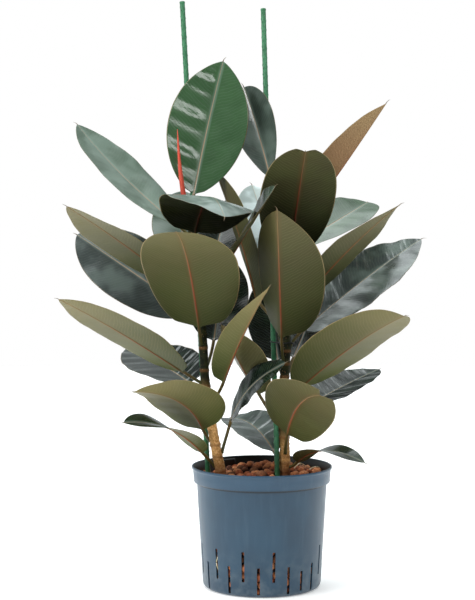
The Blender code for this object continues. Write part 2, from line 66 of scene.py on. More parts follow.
# height: where the petiole leaves the stem.  base, middle, tip: the midrib.
# face: the way the upper side looks.  fold: how far each half is turned up.
# outline: where the blade is widest, roundness of its base, bluntness of its tip.
# tone: how light the under side is, its own olive with painted light and shade for how much
# light reaches the leaf; how green the upper side is, how brown both are, 0 to 1.
# wave: how wavy the margin is.  swell: height of the slow ridges of each half.
# lobe: how far each half reaches past the tip.  via: where a bent petiole passes.
# bloom: how much pale wax lies on the upper side, which also paints the pale
# reflection of the bright room.  gloss: how clear the wax of each half is.
LEAVES = (
    Leaf("left_leaf_01", "left", 188, (-92, -15, 211), (-145, -70, 258), (-208, -120, 272),
         (0, -0.2, 1), 62, (10, 10), -45, tone=(0.5, 0.2, 0), wave=0.4),
    Leaf("left_leaf_02", "left", 210, (-48, -20, 264), (-19, -54, 318), (34, -88, 359),
         (-0.85, -0.3, 0.5), 72, (5, 5), tone=(0.4, 0.0, 0), swell=(0.8, 1.2),
         gloss=(0.2, 0.2)),
    Leaf("left_leaf_03", "left", 228, (-92, -15, 248), (-127, -84, 300), (-191, -142, 321),
         (0.1, 0.1, 1), 116, (30, -6), 0, (0.44, 0.42, 0.58), tone=(0.75, 0.2, 0)),
    Leaf("left_leaf_04", "left", 290, (-60, -22, 323), (-28, -90, 405), (8, -154, 476),
         (0, 0.3, 1), 66, (70, 10), 0, (0.32, 0.42, 1.3), tone=(1.0, 0.2, 0)),
    Leaf("left_leaf_05", "left", 300, (-113, 15, 318), (-170, 95, 345), (-226, 170, 362),
         (0, -0.4, 1), 125, (10, 10), 0, (0.38, 0.5, 1.2), tone=(0.4, 0.0, 0),
         swell=(1.0, 1.3), gloss=(0.6, 0.03)),
    Leaf("left_leaf_06", "left", 320, (-122, -15, 338), (-218, -65, 404), (-305, -110, 456),
         (0.35, 0.35, 1), 113, (12, -4), tone=(0.62, 0.3, 0)),
    Leaf("left_leaf_07", "left", 345, (-76, 28, 384), (-68, 80, 450), (-62, 132, 520),
         (0, -0.3, 1), 98, tone=(0.2, 0, 0)),
    Leaf("left_leaf_08", "left", 380, (-98, -25, 408), (-111, -115, 507), (-125, -200, 556),
         (0.05, 0.2, 1), 148, (5, 5), 0, (0.45, 0.36, 0.8), tone=(0.45, 0.2, 0)),
    Leaf("left_leaf_09", "left", 420, (-112, 15, 430), (-211, 50, 496), (-298, 85, 552),
         (0.1, -1, 0.5), 118, tone=(0.4, 0.05, 0), swell=(0.6, 0.6), bloom=0.1),
    Leaf("left_leaf_10", "left", 450, (-135, -20, 478), (-213, -75, 540), (-290, -130, 594),
         (0, 0, 1), 120, (0, -10), tone=(0.5, 0.4, 0)),
    Leaf("left_leaf_11", "left", 455, (-72, -20, 482), (-27, -92, 552), (16, -162, 622),
         (-0.84, 0, 0.54), 95, (12, 12), 25, tone=(0.2, 0.1, 0), swell=(0.8, 0.8)),
    Leaf("left_leaf_12", "left", 465, (-76, 38, 495), (-67, 84, 552), (-47, 126, 612),
         (0, -0.3, 1), 70, (12, 12), tone=(0.3, 0, 0)),
    Leaf("left_leaf_13", "left", 480, (-118, 52, 503), (-130, 110, 568), (-129, 160, 625),
         (0, -0.3, 1), 98, via=(-116, 18, 488), tone=(0.4, 0.7, 0), bloom=0.08),
    Leaf("left_leaf_14", "left", 530, (-104, -20, 555), (-81, -110, 607), (-57, -188, 578),
         (0.15, 0.1, 1), 145, (-8, -8), 0, (0.5, 0.4, 0.8), tone=(0.0, 0.5, 0), swell=(1.0, 1.0),
         bloom=0.28),
    Leaf("left_leaf_15", "left", 550, (-135, 5, 570), (-223, 50, 648), (-297, 90, 730),
         (0.2, -0.35, 1), 100, tone=(0.4, 0.8, 0), swell=(0.5, 0.5),
         bloom=0.14),
    Leaf("left_leaf_16", "left", 578, (-107, 5, 614), (-86, 33, 720), (-61, 50, 827),
         (0.05, -1, 0.2), 127, (10, 10), 0, (0.5, 0.7, 0.8), tone=(0.4, 1.0, 0),
         wave=0.5, swell=(1.7, 0.7)),
    Leaf("right_leaf_01", "right", 188, (55, -15, 197), (97, -40, 219), (157, -60, 203),
         (0, 0, 1), 62, (8, 8), 44, tone=(0.2, 0.2, 0), wave=0.3),
    Leaf("right_leaf_02", "right", 200, (19, 12, 210), (-16, 75, 245), (-55, 130, 248),
         (0.1, -0.4, 1), 92, (10, 10), tone=(0.4, 0.1, 0), swell=(1.2, 1.6), bloom=0.1,
         gloss=(0.9, 0.05)),
    Leaf("right_leaf_03", "right", 210, (39, -36, 243), (54, -110, 297), (81, -172, 319),
         (0.7, 0.2, 1), 112, (0, 0), 0, (0.5, 0.34, 0.55), tone=(0.32, 0.2, 0),
         wave=0.5, lobe=22),
    Leaf("right_leaf_04", "right", 240, (-4, 12, 300), (-36, -8, 355), (-62, -26, 412),
         (0.1, 0.1, 1), 106, (20, 24), via=(18, 16, 264), tone=(0.6, 0.2, 0)),
    Leaf("right_leaf_05", "right", 255, (60, 10, 276), (133, 70, 308), (196, 130, 330),
         (-0.2, -0.3, 1), 100, (10, 10), 0, (0.4, 0.5, 0.9), tone=(0.4, 0.0, 0),
         wave=0.5, swell=(1.2, 1.0), gloss=(0.3, 0.03)),
    Leaf("right_leaf_06", "right", 285, (59, -15, 314), (138, -85, 386), (207, -145, 433),
         (0, 0, 1), 126, (-6, 32), 0, (0.46, 0.45, 0.52), tone=(0.6, 0.2, 0)),
    Leaf("right_leaf_07", "right", 325, (26, 28, 352), (18, 80, 415), (12, 135, 486),
         (0, -0.2, 1), 85, via=(30, 14, 338), tone=(0.3, 0, 0)),
    Leaf("right_leaf_08", "right", 335, (50, 15, 358), (77, 70, 415), (99, 120, 469),
         (0, -0.3, 1), 90, tone=(0.2, 0, 0)),
    Leaf("right_leaf_09", "right", 355, (30, -22, 392), (24, -106, 499), (19, -174, 588),
         (0, 0.2, 1), 138, (5, 62), 0, (0.4, 0.36, 1.0), tone=(0.26, 0.2, 0),
         wave=1.2),
    Leaf("right_leaf_10", "right", 375, (63, 10, 400), (160, 40, 478), (257, 70, 545),
         (-0.2, -0.4, 1), 132, (10, 0), tone=(0.4, 0.15, 0), swell=(1.8, 1.3), bloom=0.09,
         gloss=(0.15, 1.2)),
    Leaf("right_leaf_11", "right", 405, (-8, 15, 450), (-33, 14, 545), (-71, 36, 650),
         (0.95, 0.3, 0.3), 98, (10, 10), 0, (0.5, 0.6, 0.8), (16, -2, 420), tone=(0.4, 0.2, 0)),
    Leaf("right_leaf_12", "right", 415, (62, -15, 450), (134, -65, 533), (203, -115, 597),
         (0, 0, 1), 94, (-1, 8), 0, (0.38, 0.5, 1.3), tone=(0.4, 0.3, 0)),
    Leaf("right_leaf_13", "right", 470, (17, 52, 505), (4, 112, 572), (-14, 172, 635),
         (0, 0, 1), 96, via=(30, 26, 484), tone=(0.4, 0.7, 0), bloom=0.95),
    Leaf("right_leaf_14", "right", 490, (42, -20, 520), (54, -110, 620), (59, -190, 671),
         (0.05, 0, 1), 114, (5, 5), 0, (0.38, 0.42, 0.7), tone=(0.1, 0.2, 0),
         wave=0.5, lobe=16),
    Leaf("right_leaf_15", "right", 505, (45, 22, 530), (132, 90, 580), (177, 148, 606),
         (0, -0.6, 1), 88, (10, 10), 0, (0.5, 0.5, 0.6), tone=(0.4, 0.7, 0)),
    Leaf("right_leaf_16", "right", 540, (64, 0, 572), (130, -20, 665), (189, -40, 753),
         (-0.6, 0.5, 0.4), 84, (60, 30), 0, (0.42, 0.55, 1.0), tone=(0.7, 0.3, 1)),
    Leaf("right_leaf_17", "right", 606, (13, 22, 642), (-6, 58, 718), (-28, 80, 789),
         (0, -1, 0.2), 86, (26, 50), 0, (0.58, 0.8, 0.55), tone=(0.4, 0.3, 0), swell=(0.6, 1.2),
         bloom=0.1, gloss=(1.9, 0.5)),
)
HALF_RING = np.array([
    0, 0.012, 0.026, 0.042, 0.065, 0.105, 0.17, 0.25, 0.34, 0.44, 0.55, 0.66, 0.76, 0.85,
    0.92, 0.97, 1.0])
STALK_STEPS, BLADE_STEPS, DRIP_STEPS = 14, 84, 6
SKIN, RIB, GROOVE = 0.42, 2.1, 0.55
STALK_RADIUS = 2.5
WAVES = ((1.6, 1.1), (2.9, 0.45), (5.3, 0.12))
SWELLS = ((12.5, 0.16), (32.0, 0.7), (61.0, 0.8))
VEIN_SPACING = 5.5
# SKIN: half the thickness of a blade.  RIB and GROOVE: how far the midrib stands out below and
# sinks in above.  WAVES: number and height.  SWELLS: length and height.

# ------------------------------------------------------------ stems, stakes, ties (mm)
STEM_PATHS = {
    "left": ((-62, -8, 112), (-63, -8, 178), (-69, -8, 201), (-77, -6, 246), (-89, -4, 322),
             (-93, -2, 400), (-100, 0, 505), (-116, 0, 588)),
    "right": ((37, -5, 112), (36, -5, 178), (36, -5, 207), (35, -4, 246), (34, -3, 309),
              (39, 0, 378), (35, 0, 466), (25, 2, 544), (16, 4, 626))}
STEM_RADII = (8.6, 5.0)
STAKE_ENDS = {"left": ((-75.9, -3.0, 16), (-126.5, 67.0, 924)),
              "right": ((28.8, -34.4, 16), (3.0, 75.0, 914))}
STAKE_RADIUS = 4.0
STAKE_NUB_ROWS, STAKE_NUB_PITCH, STAKE_NUB_HEIGHT = 5, 15.0, 0.75
WIRE_RADIUS, WIRE_SIDES = 0.9, 10
UPWARD = np.array([0.0, 0.0, 1.0])
TIE_HEIGHTS = {"left": 440.0, "right": 383.0}
SHEATHS = {"left": ((-118.0, -1.0, 588.8), (-131.5, -8, 716)),
           "right": ((16.0, 4.6, 627.6), (17.5, -5, 663))}

# ------------------------------------------------------------ pot and pebbles (mm)
POT_OUTER = (
    (0.0, 1.2), (60.0, 1.2), (62.0, 0.0), (84.0, 0.0), (88.0, 0.9), (90.6, 2.4), (92.3, 5.0),
    (93.0, 8.0), (94.0, 24.5), (94.7, 38.5), (95.2, 47.0), (96.6, 71.0),
    (99.0, 110.0), (101.9, 160.0), (102.1, 163.6), (102.5, 164.7), (106.2, 165.3),
    (107.0, 166.3), (107.7, 177.0), (108.4, 184.6), (108.9, 185.6), (110.0, 186.4),
    (110.2, 187.2), (110.2, 189.2), (109.7, 189.9), (109.0, 190.0))
POT_INNER = (
    (108.3, 189.8), (108.0, 189.2), (107.6, 187.0), (106.7, 185.5), (105.7, 177.0),
    (104.4, 168.0), (102.4, 164.6), (100.2, 163.6), (99.9, 160.0), (97.0, 110.0),
    (94.6, 71.0), (93.2, 47.0), (92.7, 38.5), (92.0, 24.5), (91.0, 8.0), (90.3, 5.0),
    (88.6, 3.8), (82.5, 2.6), (0.0, 2.6))
SLOT_COUNT = 25
SLOT_FIRST = -4.0
SLOT_WIDTH = 2.7
SLOT_LOW, SLOT_HIGH, SLOT_SHORT, SHORT_SLOT = (5.0, 47.0), (24.5, 71.0), (8.0, 38.5), 3
COLLAR_CORNER = 164.3
POT_FLOOR = 3.0
GAUGE_TURN, GAUGE_REACH, GAUGE_DEPTH = 120.0, 5.5, 4.0
GAUGE_LOW, GAUGE_HIGH = 176, 186
PEBBLE_SIDES = 9
TOP_PEBBLES, SIDE_PEBBLES, SIDE_LEVELS = 132, 42, (9.5, 84.0, 12.0)
BED_LEVEL, BED_HEAP, BED_HEAP_AT, BED_HEAP_SPREAD = 171.0, 14.0, (8.0, 42.0), 52.0
# POT_OUTER, POT_INNER: radius and height.  SLOT_FIRST, SLOT_WIDTH: degrees.  SLOT_LOW, SLOT_HIGH,
# SLOT_SHORT: where a slot begins and ends.  GAUGE: a bracket inside the rim, its turn and half
# width in degrees and its depth.  SIDE_LEVELS: first, last and step of the rings behind the slots.


# ------------------------------------------------------------ colour and node helpers
def linear(code, alpha=1.0):
    """An sRGB hex colour turned to linear light."""
    parts = np.array([int(code[k:k + 2], 16) for k in (1, 3, 5)]) / 255.0
    parts = np.where(parts <= 0.04045, parts / 12.92, ((parts + 0.055) / 1.055) ** 2.4)
    return (*parts.tolist(), alpha)


def add_node(tree, kind, inputs=(), out=0, **settings):
    """One shader node with its settings, its fixed inputs and its links.

    inputs holds values or outputs of other nodes, in the order of the node's own inputs or
    by their number or name.  out picks the output that is given back, None all of them.
    """
    made = tree.nodes.new("ShaderNode" + kind)
    for key, value in settings.items():
        setattr(made, key, value)
    for key, value in inputs.items() if isinstance(inputs, dict) else enumerate(inputs):
        if isinstance(value, bpy.types.NodeSocket):
            tree.links.new(value, made.inputs[key])
        else:
            made.inputs[key].default_value = value
    return made.outputs if out is None else made.outputs[out]


def new_material(name, roughness, **constants):
    """A Principled material, its tree and the sockets of its shader."""
    made = bpy.data.materials.new(name)
    made.use_nodes = True
    tree = made.node_tree
    tree.nodes.clear()
    values = {key.replace("_", " "): value for key, value in constants.items()}
    skin = add_node(tree, "BsdfPrincipled", {"Roughness": roughness, **values})
    add_node(tree, "OutputMaterial", {"Surface": skin}, None)
    return made, tree, skin.node.inputs


# ------------------------------------------------------------ mesh helpers
def unit(vectors):
    """Vectors made one long."""
    vectors = np.asarray(vectors, float)
    return vectors / np.maximum(np.linalg.norm(vectors, axis=-1, keepdims=True), 1e-9)


def smooth_step(value, low, high):
    """0 below low, 1 above high, and a smooth climb between."""
    x = np.clip((value - low) / (high - low), 0, 1)
    return x * x * (3 - 2 * x)


def turns_of(sides):
    """Evenly spread angles once round."""
    return np.linspace(0, 2 * math.pi, sides, endpoint=False)


def circles(across, other, turn):
    """Unit circles, one for each pair of directions: across * cos turn + other * sin turn."""
    turn = turn[None, :, None]
    return across[:, None] * np.cos(turn) + other[:, None] * np.sin(turn)


def arc(first, bend, last, share):
    """Points of a quadratic arc."""
    return first * (1 - share) ** 2 + 2 * bend * share * (1 - share) + last * share ** 2


def join(shapes):
    """Points, quads and triangles of several shapes in one."""
    starts = np.cumsum([0] + [len(points) for points, _, _ in shapes])
    return (np.vstack([points for points, _, _ in shapes]),
            np.vstack([quads.reshape(-1, 4) + at for (_, quads, _), at in zip(shapes, starts)]),
            np.vstack([tris.reshape(-1, 3) + at for (_, _, tris), at in zip(shapes, starts)]))


def grid_quads(rows, columns):
    """Corner numbers of the quads of a grid whose rows close on themselves."""
    r = np.arange(rows - 1)[:, None]
    c = np.arange(columns)[None, :]
    d = (c + 1) % columns
    a, b = r * columns + c, r * columns + d
    return np.stack([a, b, b + columns, a + columns], axis=-1)


def make_piece(name, points, quads, materials, tris=None, indices=None, marks=None):
    """One object at the origin from points in mm, quads, triangles, materials and marks.

    marks is {attribute name: one three-part value for each point}.
    """
    points = np.asarray(points, np.float32).reshape(-1, 3) * MM
    quads = np.asarray(quads, np.int32).reshape(-1, 4)
    tris = np.zeros((0, 3), np.int32) if tris is None else np.asarray(tris, np.int32).reshape(-1, 3)
    mesh = bpy.data.meshes.new(name)
    mesh.vertices.add(len(points))
    mesh.vertices.foreach_set("co", points.ravel())
    corners = np.concatenate([quads.ravel(), tris.ravel()])
    mesh.loops.add(len(corners))
    mesh.loops.foreach_set("vertex_index", corners)
    sizes = np.concatenate([np.full(len(quads), 4), np.full(len(tris), 3)])
    mesh.polygons.add(len(sizes))
    mesh.polygons.foreach_set("loop_start", np.concatenate([[0], np.cumsum(sizes)[:-1]]))
    for mat in materials:
        mesh.materials.append(mat)
    if indices is not None:
        mesh.polygons.foreach_set("material_index", np.asarray(indices, np.int32).ravel())
    mesh.update(calc_edges=True)
    mesh.polygons.foreach_set("use_smooth", np.ones(len(sizes), bool))
    for label, values in (marks or {}).items():
        layer = mesh.attributes.new(label, "FLOAT_VECTOR", "POINT")
        layer.data.foreach_set("vector", np.asarray(values, np.float32).ravel())
    mesh.validate()
    piece = bpy.data.objects.new(name, mesh)
    bpy.context.scene.collection.objects.link(piece)
    return piece


def settle(piece, slot, *nodes):
    """Put a piece on the one body, in place of its CAD nodes; the slot argument is not used."""
    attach(piece, "root")
    if nodes:
        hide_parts(*nodes)


def along_path(path, radii, sides, start=(1.0, 0.0, 0.0)):
    """Rings round a path: centre + radius * circle."""
    path = np.asarray(path, float)
    along = unit(np.gradient(path, axis=0))
    across = unit(np.asarray(start) - (along @ np.asarray(start))[:, None] * along)
    radii = np.asarray(radii, float)
    radii = np.broadcast_to(radii.reshape(len(path), -1), (len(path), sides))[..., None]
    return path[:, None] + radii * circles(across, np.cross(along, across), turns_of(sides))


def close_rings(rings):
    """Points, quads and end triangles of a closed tube made from rings."""
    count, sides = rings.shape[:2]
    points = np.vstack([rings.reshape(-1, 3), rings[0].mean(0), rings[-1].mean(0)])
    s = np.arange(sides)
    t = (s + 1) % sides
    first, last = count * sides, count * sides + 1
    foot = np.stack([t, s, np.full(sides, first)], axis=1)
    head = np.stack([s, t, np.full(sides, last)], axis=1)
    head[:, :2] += (count - 1) * sides
    return points, grid_quads(count, sides), np.vstack([foot, head])


# ------------------------------------------------------------ stems
def stem_centre(stem, height):
    """The axis of a stem at a height, with its corners rounded off."""
    path = np.array(STEM_PATHS[stem], float)
    height = np.asarray(height, float)
    spread = np.linspace(-14, 14, 9)
    near = np.clip(height[..., None] + spread, path[0, 2], path[-1, 2])
    x = np.interp(near, path[:, 2], path[:, 0]).mean(-1)
    y = np.interp(near, path[:, 2], path[:, 1]).mean(-1)
    return np.stack([x, y, height], axis=-1)


def stem_radius(stem, height):
    """The plain radius of a stem at a height."""
    path = STEM_PATHS[stem]
    return np.interp(height, (path[0][2], path[-1][2]), STEM_RADII)


def build_stem(stem, mat, rng):
    """A stem: radius(height, turn) = taper + ring scars + wrinkles, along its axis.

    Each ring scar is a narrow ridge, the square of a bell curve of the height above it.
    """
    low, high = STEM_PATHS[stem][0][2], STEM_PATHS[stem][-1][2]
    heights = np.arange(low, high, 1.1)
    heights = np.append(heights, high)
    sides = 28
    turn = turns_of(sides)
    radius = stem_radius(stem, heights)[:, None] + 0 * turn[None]
    scars = np.array([leaf.height - 5.0 for leaf in LEAVES if leaf.stem == stem])
    old = np.arange(low + 6, scars.min() + 150, 13.0)
    old = old + rng.uniform(-3, 3, len(old))
    for spots, size, spread in ((scars, 0.8, 2.4), (scars + 3.6, 0.35, 0.8), (old, 0.55, 0.9)):
        lean = rng.uniform(-1.4, 1.4, (len(spots), 1, 1)) * np.cos(turn)[None, None]
        away = heights[None, :, None] - spots[:, None, None] - lean
        radius = radius + size * np.exp(-(away / spread) ** 2).max(axis=0)
    young = smooth_step(heights, scars.min() + 60, scars.min() + 200)[:, None]
    ribs = np.sin(turn[None] * 5 + heights[:, None] * 0.02) * 0.18
    wrinkle = rng.normal(0, 0.10, radius.shape)
    wrinkle = (wrinkle + np.roll(wrinkle, 1, 0) + np.roll(wrinkle, -1, 0)) * (1 - young)
    radius = radius + ribs * young + wrinkle
    shrink = np.sqrt(np.clip((high - heights) / 4.0, 0.02, 1))[:, None]
    rings = along_path(stem_centre(stem, heights), radius * shrink, sides)
    points, quads, tris = close_rings(rings)
    green_from = scars.min() + (120.0 if stem == "left" else 45.0)
    share = smooth_step(points[:, 2], green_from - 25, green_from + 30)
    nearest = np.abs(points[:, 2][:, None] - scars[None]).min(axis=1)
    marks = np.stack([share, nearest / 10.0, 0 * share], axis=1)
    piece = make_piece(f"{stem}_woody_stem", points, quads, [mat], tris, marks={"bark": marks})
    settle(piece, "bark", f"{stem}_stem")


# ------------------------------------------------------------ leaves
def half_outline(share, outline):
    """Half width of a blade from base to tip, one at its widest.

    A power of a quarter ellipse before the widest place, a power of a parabola after it.
    """
    belly, round_base, blunt_tip = outline
    base = (1 - (1 - np.clip(share / belly, 0, 1)) ** 2) ** round_base
    tip = (1 - np.clip((share - belly) / (1 - belly), 0, 1) ** 2.2) ** blunt_tip
    return base * tip


def midrib(leaf, share):
    """Points and directions along the midrib, a quadratic arc through three points."""
    base, middle, tip = (np.array(p, float) for p in (leaf.base, leaf.middle, leaf.tip))
    bend = 2 * middle - (base + tip) / 2
    share = np.asarray(share, float)[:, None]
    along = 2 * (bend - base) * (1 - share) + 2 * (tip - bend) * share
    return arc(base, bend, tip, share), unit(along)


def blade_frame(leaf, along, share):
    """Upper-side direction and sideways direction at each place on the midrib."""
    face = np.array(leaf.face, float)
    up = unit(face - (along @ face)[:, None] * along)
    side = np.cross(along, up)
    turn = np.radians(leaf.twist) * (np.asarray(share) - 0.5)[:, None]
    up = up * np.cos(turn) + side * np.sin(turn)
    return up, np.cross(along, up)


def ring_places():
    """Sideways place, upper or under side, and petiole turn of each point of a ring."""
    half = np.concatenate([-HALF_RING[::-1], HALF_RING[1:]])
    count = len(half) - 1
    place = np.concatenate([half, half[-2:0:-1]])
    side = np.concatenate([np.ones(count + 1), -np.ones(count - 1)])
    side[[0, count]] = 0
    turn = math.pi - np.arange(2 * count) * math.pi / count
    return place, side, turn


def blade_rings(leaf, share, rng):
    """Rings of one blade.

    A point is midrib(share) + sideways * out + up * lift, where out and lift follow a line
    turned up by the fold angle, rounded near the midrib, plus waves that grow to the edge.
    """
    place, layer, turn = ring_places()
    centres, along = midrib(leaf, share)
    up, side = blade_frame(leaf, along, share)
    steps = np.linalg.norm(np.diff(centres, axis=0), axis=1)
    run = np.concatenate([[0], np.cumsum(steps)])
    half = np.maximum(half_outline(share, leaf.outline) * leaf.width / 2, 0.9)[:, None]
    away = np.abs(place)[None] * half
    fold = np.radians(np.where(place < 0, leaf.fold[0], leaf.fold[1]))[None]
    root = 3.0 * (1 - np.exp(-away / 3.0))
    out = np.sign(place)[None] * (away * np.cos(fold) + root * (1 - np.cos(fold)))
    lift = np.sin(fold) * (away - root)
    s, edge = share[:, None], np.abs(place)[None]
    fade = smooth_step(s, 0.02, 0.2) * (1 - smooth_step(s, 0.86, 1.0))
    for count, size in WAVES:
        start = rng.uniform(0, 2 * math.pi, 2)
        start = np.where(place < 0, start[0], start[1])[None]
        wave = np.sin(2 * math.pi * count * s + start + 1.2 * edge)
        lift = lift + leaf.wave * size * wave * edge ** 1.6 * fade
    ridge = run[:, None] - 0.24 * away
    for spacing, size in SWELLS:
        start = np.where(place < 0, *rng.uniform(0, 2 * math.pi, 2))[None]
        swell = size * np.sin(ridge * 2 * math.pi / spacing + start)
        reach = 0.65 + 0.35 * np.sin(3.0 * edge + start * 2)
        swell = swell * np.where(place < 0, *leaf.swell)[None]
        lift = lift + swell * reach * smooth_step(edge, 0.02, 0.35) * fade
    slim = 1 - 0.5 * s
    ahead = leaf.lobe * s ** 6 * np.minimum(away / 14.0, 1.0)
    skin = SKIN * slim * np.sqrt(np.clip(1 - edge ** 8, 0, 1))
    rib = RIB * slim ** 1.5 * np.exp(-(away / (1.7 * slim)) ** 2)
    groove = GROOVE * slim * np.exp(-(away / 1.1) ** 2)
    lift = lift + np.where(layer > 0, skin - groove, 0) - np.where(layer < 0, skin + rib, 0)
    blade = centres[:, None] + side[:, None] * out[..., None] + up[:, None] * lift[..., None]
    blade = blade + along[:, None] * ahead[..., None]
    stalk = centres[:, None] + STALK_RADIUS * circles(side, up, turn)
    blend = smooth_step(share, 0.0, 0.035)[:, None, None]
    rings = stalk * (1 - blend) + blade * blend
    marks = np.stack([run[:, None] + 0 * away, away * np.sign(place)[None], s + 0 * away], -1)
    return rings, marks, (centres, along, up, side)


def petiole_path(leaf, direction, share):
    """Points from inside the stem to the base of the blade, a quadratic arc."""
    base = np.array(leaf.base, float)
    centre = stem_centre(leaf.stem, float(leaf.height))
    reach = np.linalg.norm(base - centre)
    bend = np.array(leaf.via, float) if leaf.via else base - direction * reach * 0.5
    away = bend - centre
    flat = unit(np.array([away[0], away[1], 0.0]))
    slope = abs(unit(away)[2])
    radius = float(stem_radius(leaf.stem, leaf.height))
    start = centre + flat * (radius - 1.5 + 1.2 * slope)
    return arc(start, bend, base, share[:, None])


def petiole_rings(leaf, direction, upward):
    """Rings of the petiole, round and a little thicker where it leaves the stem."""
    turn = ring_places()[2]
    share = np.linspace(0, 1, STALK_STEPS + 1)
    path = petiole_path(leaf, direction, share)
    way = unit(np.gradient(path, axis=0))[:-1]
    path, share = path[:-1], share[:-1]
    lift = unit(upward - (way @ upward)[:, None] * way)
    across = np.cross(way, lift)
    radius = STALK_RADIUS - 0.15 + 0.75 * np.exp(-share / 0.1) + 0.15 * share
    return path[:, None] + radius[:, None, None] * circles(across, lift, turn)


def drip_rings(end, along, up, side, drip_tip, rng):
    """Rings of the drip tip: a thin flat point that curls aside as the square of its length."""
    turn = ring_places()[2]
    share = np.linspace(0, 1, DRIP_STEPS + 1)[1:]
    curl = side * rng.uniform(-3.5, 3.5) - up * rng.uniform(1.0, 3.5)
    path = end + share[:, None] * along * drip_tip + share[:, None] ** 2 * curl
    size = (1.0 - 0.75 * share)[:, None, None]
    ring = side * np.cos(turn)[:, None] * 0.9 + up * np.sin(turn)[:, None] * 0.6
    return path[:, None] + size * ring[None]


def leaf_marks(leaf, total, blade_marks, before, rows):
    """The marks that the materials read at each point: blade, edge and hue."""
    place = ring_places()[0]
    count = len(place)
    after = before + len(blade_marks)
    blade = np.zeros((total, 3))
    blade[:before * count, 2] = np.repeat(np.linspace(-1, 0, before), count)
    blade[before * count:after * count] = blade_marks.reshape(-1, 3)
    blade[after * count:, 2] = 1.0
    edge = np.zeros((total, 3))
    edge[:rows * count, 0] = np.tile(np.abs(place), rows)
    # The under side's lightness is the leaf's own olive and painted light and shade for how much light
    # reaches it.
    edge[:, 1:] = leaf.tone[:2]
    hue = np.zeros((total, 3))
    # The second hue value is pale wax together with a painted reflection of the bright room.
    hue[:, :2] = leaf.tone[2], leaf.bloom
    hue[:rows * count, 2] = np.tile(np.where(place < 0, *leaf.gloss), rows)
    return {"blade": blade, "edge": edge, "hue": hue}


def build_leaf(leaf, mats, drip_tip, rng):
    """One closed leaf: petiole rings, blade rings and drip tip rings, joined in order."""
    share = (1 - np.cos(np.linspace(0, math.pi, BLADE_STEPS))) / 2
    blade, blade_marks, (centres, along, up, side) = blade_rings(leaf, share, rng)
    petiole = petiole_rings(leaf, along[0], up[0])
    drip = drip_rings(centres[-1], along[-1], up[-1], side[-1], drip_tip, rng)
    rings = np.concatenate([petiole, blade, drip])
    points, quads, tris = close_rings(rings)
    count = rings.shape[1]
    first, last = len(petiole), len(petiole) + len(blade) - 1
    index = np.where(np.arange(count) < count // 2, 0, 1)[None].repeat(len(rings) - 1, axis=0)
    index[:first] = 2
    index[last:] = 2
    index = np.concatenate([index.ravel(), np.full(len(tris), 2)])
    marks = leaf_marks(leaf, len(points), blade_marks, first, len(rings))
    name = leaf.name.replace("_leaf_", "_rubber_leaf_")
    settle(make_piece(name, points, quads, mats, tris, index, marks), "leaf", leaf.name)


# ------------------------------------------------------------ stakes, ties, bud sheaths
def stake_centre(stem, height):
    """The axis of a stake at one or many heights."""
    foot, head = (np.array(e, float) for e in STAKE_ENDS[stem])
    share = (np.asarray(height, float) - foot[2]) / (head[2] - foot[2])
    return foot + share[..., None] * (head - foot)


def build_stake(stem, mat):
    """A coated stake: radius(length, turn) = plain radius + rows of round nubs."""
    foot, head = (np.array(e, float) for e in STAKE_ENDS[stem])
    length = np.linalg.norm(head - foot)
    stops = np.append(np.arange(0, length - 5, 1.3), length - np.array([4.4, 3.6, 3, 2, 1, 0.4, 0]))
    body = np.interp(length - stops, (0, 0.4, 1.2, 3.0, 3.8, 900), (3.0, 3.9, 4.45, 4.45, 4.0, 4.0))
    sides = 40
    turn = turns_of(sides)
    nubs = 0.0
    pitch = STAKE_NUB_PITCH
    for k in range(STAKE_NUB_ROWS):
        middle = 2 * math.pi * (k + 0.25) / STAKE_NUB_ROWS
        apart = np.angle(np.exp(1j * (turn - middle))) * STAKE_RADIUS
        row = (stops + pitch * 0.4 * k + pitch / 2) % pitch - pitch / 2
        nubs = nubs + np.exp(-((row[:, None] / 1.5) ** 2 + (apart[None] / 1.0) ** 2))
    clear = (stops < length - 8)[:, None]
    radius = body[:, None] + STAKE_NUB_HEIGHT * np.clip(nubs, 0, 1) * clear
    path = foot + unit(head - foot) * stops[:, None]
    rings = along_path(path, radius, sides)
    points, quads, tris = close_rings(rings)
    marks = np.zeros((len(points), 3))
    marks[:len(stops) * sides, 0] = (nubs * clear).ravel()
    marks[:len(stops) * sides, 1] = np.repeat(stops * MM, sides)
    piece = make_piece(f"{stem}_coated_stake", points, quads, [mat], tris, marks={"nub": marks})
    settle(piece, "stake_coating", f"{stem}_stake")


def tie_path(first, second, far, near):
    """A closed path round the stake and the stem: two arcs and two straight runs."""
    line = second - first
    angle = math.atan2(line[1], line[0])
    lean = math.acos((far - near) / np.linalg.norm(line[:2]))
    around = angle + np.linspace(lean, 2 * math.pi - lean, 14)
    stake_side = first + far * np.stack([np.cos(around), np.sin(around), 0 * around], -1)
    around = angle + np.linspace(-lean, lean, 20)
    stem_side = second + near * np.stack([np.cos(around), np.sin(around), 0 * around], -1)
    corner = np.vstack([stake_side, stem_side, stake_side[:1]])
    gone = np.concatenate([[0], np.cumsum(np.linalg.norm(np.diff(corner, axis=0), axis=1))])
    stops = np.linspace(0, gone[-1], 90, endpoint=False)
    path = np.stack([np.interp(stops, gone, corner[:, k]) for k in range(3)], -1)
    path[:, 2] += 0.8 * np.sin(stops / gone[-1] * 4 * math.pi)
    return path, angle


def tie_loop(path):
    """Points and quads of a closed wire along a closed path."""
    ahead = unit(np.roll(path, -1, 0) - np.roll(path, 1, 0))
    ring = circles(np.cross(ahead, UPWARD), UPWARD[None], turns_of(WIRE_SIDES))
    quads = grid_quads(len(path) + 1, WIRE_SIDES) % (len(path) * WIRE_SIDES)
    return (path[:, None] + WIRE_RADIUS * ring).reshape(-1, 3), quads


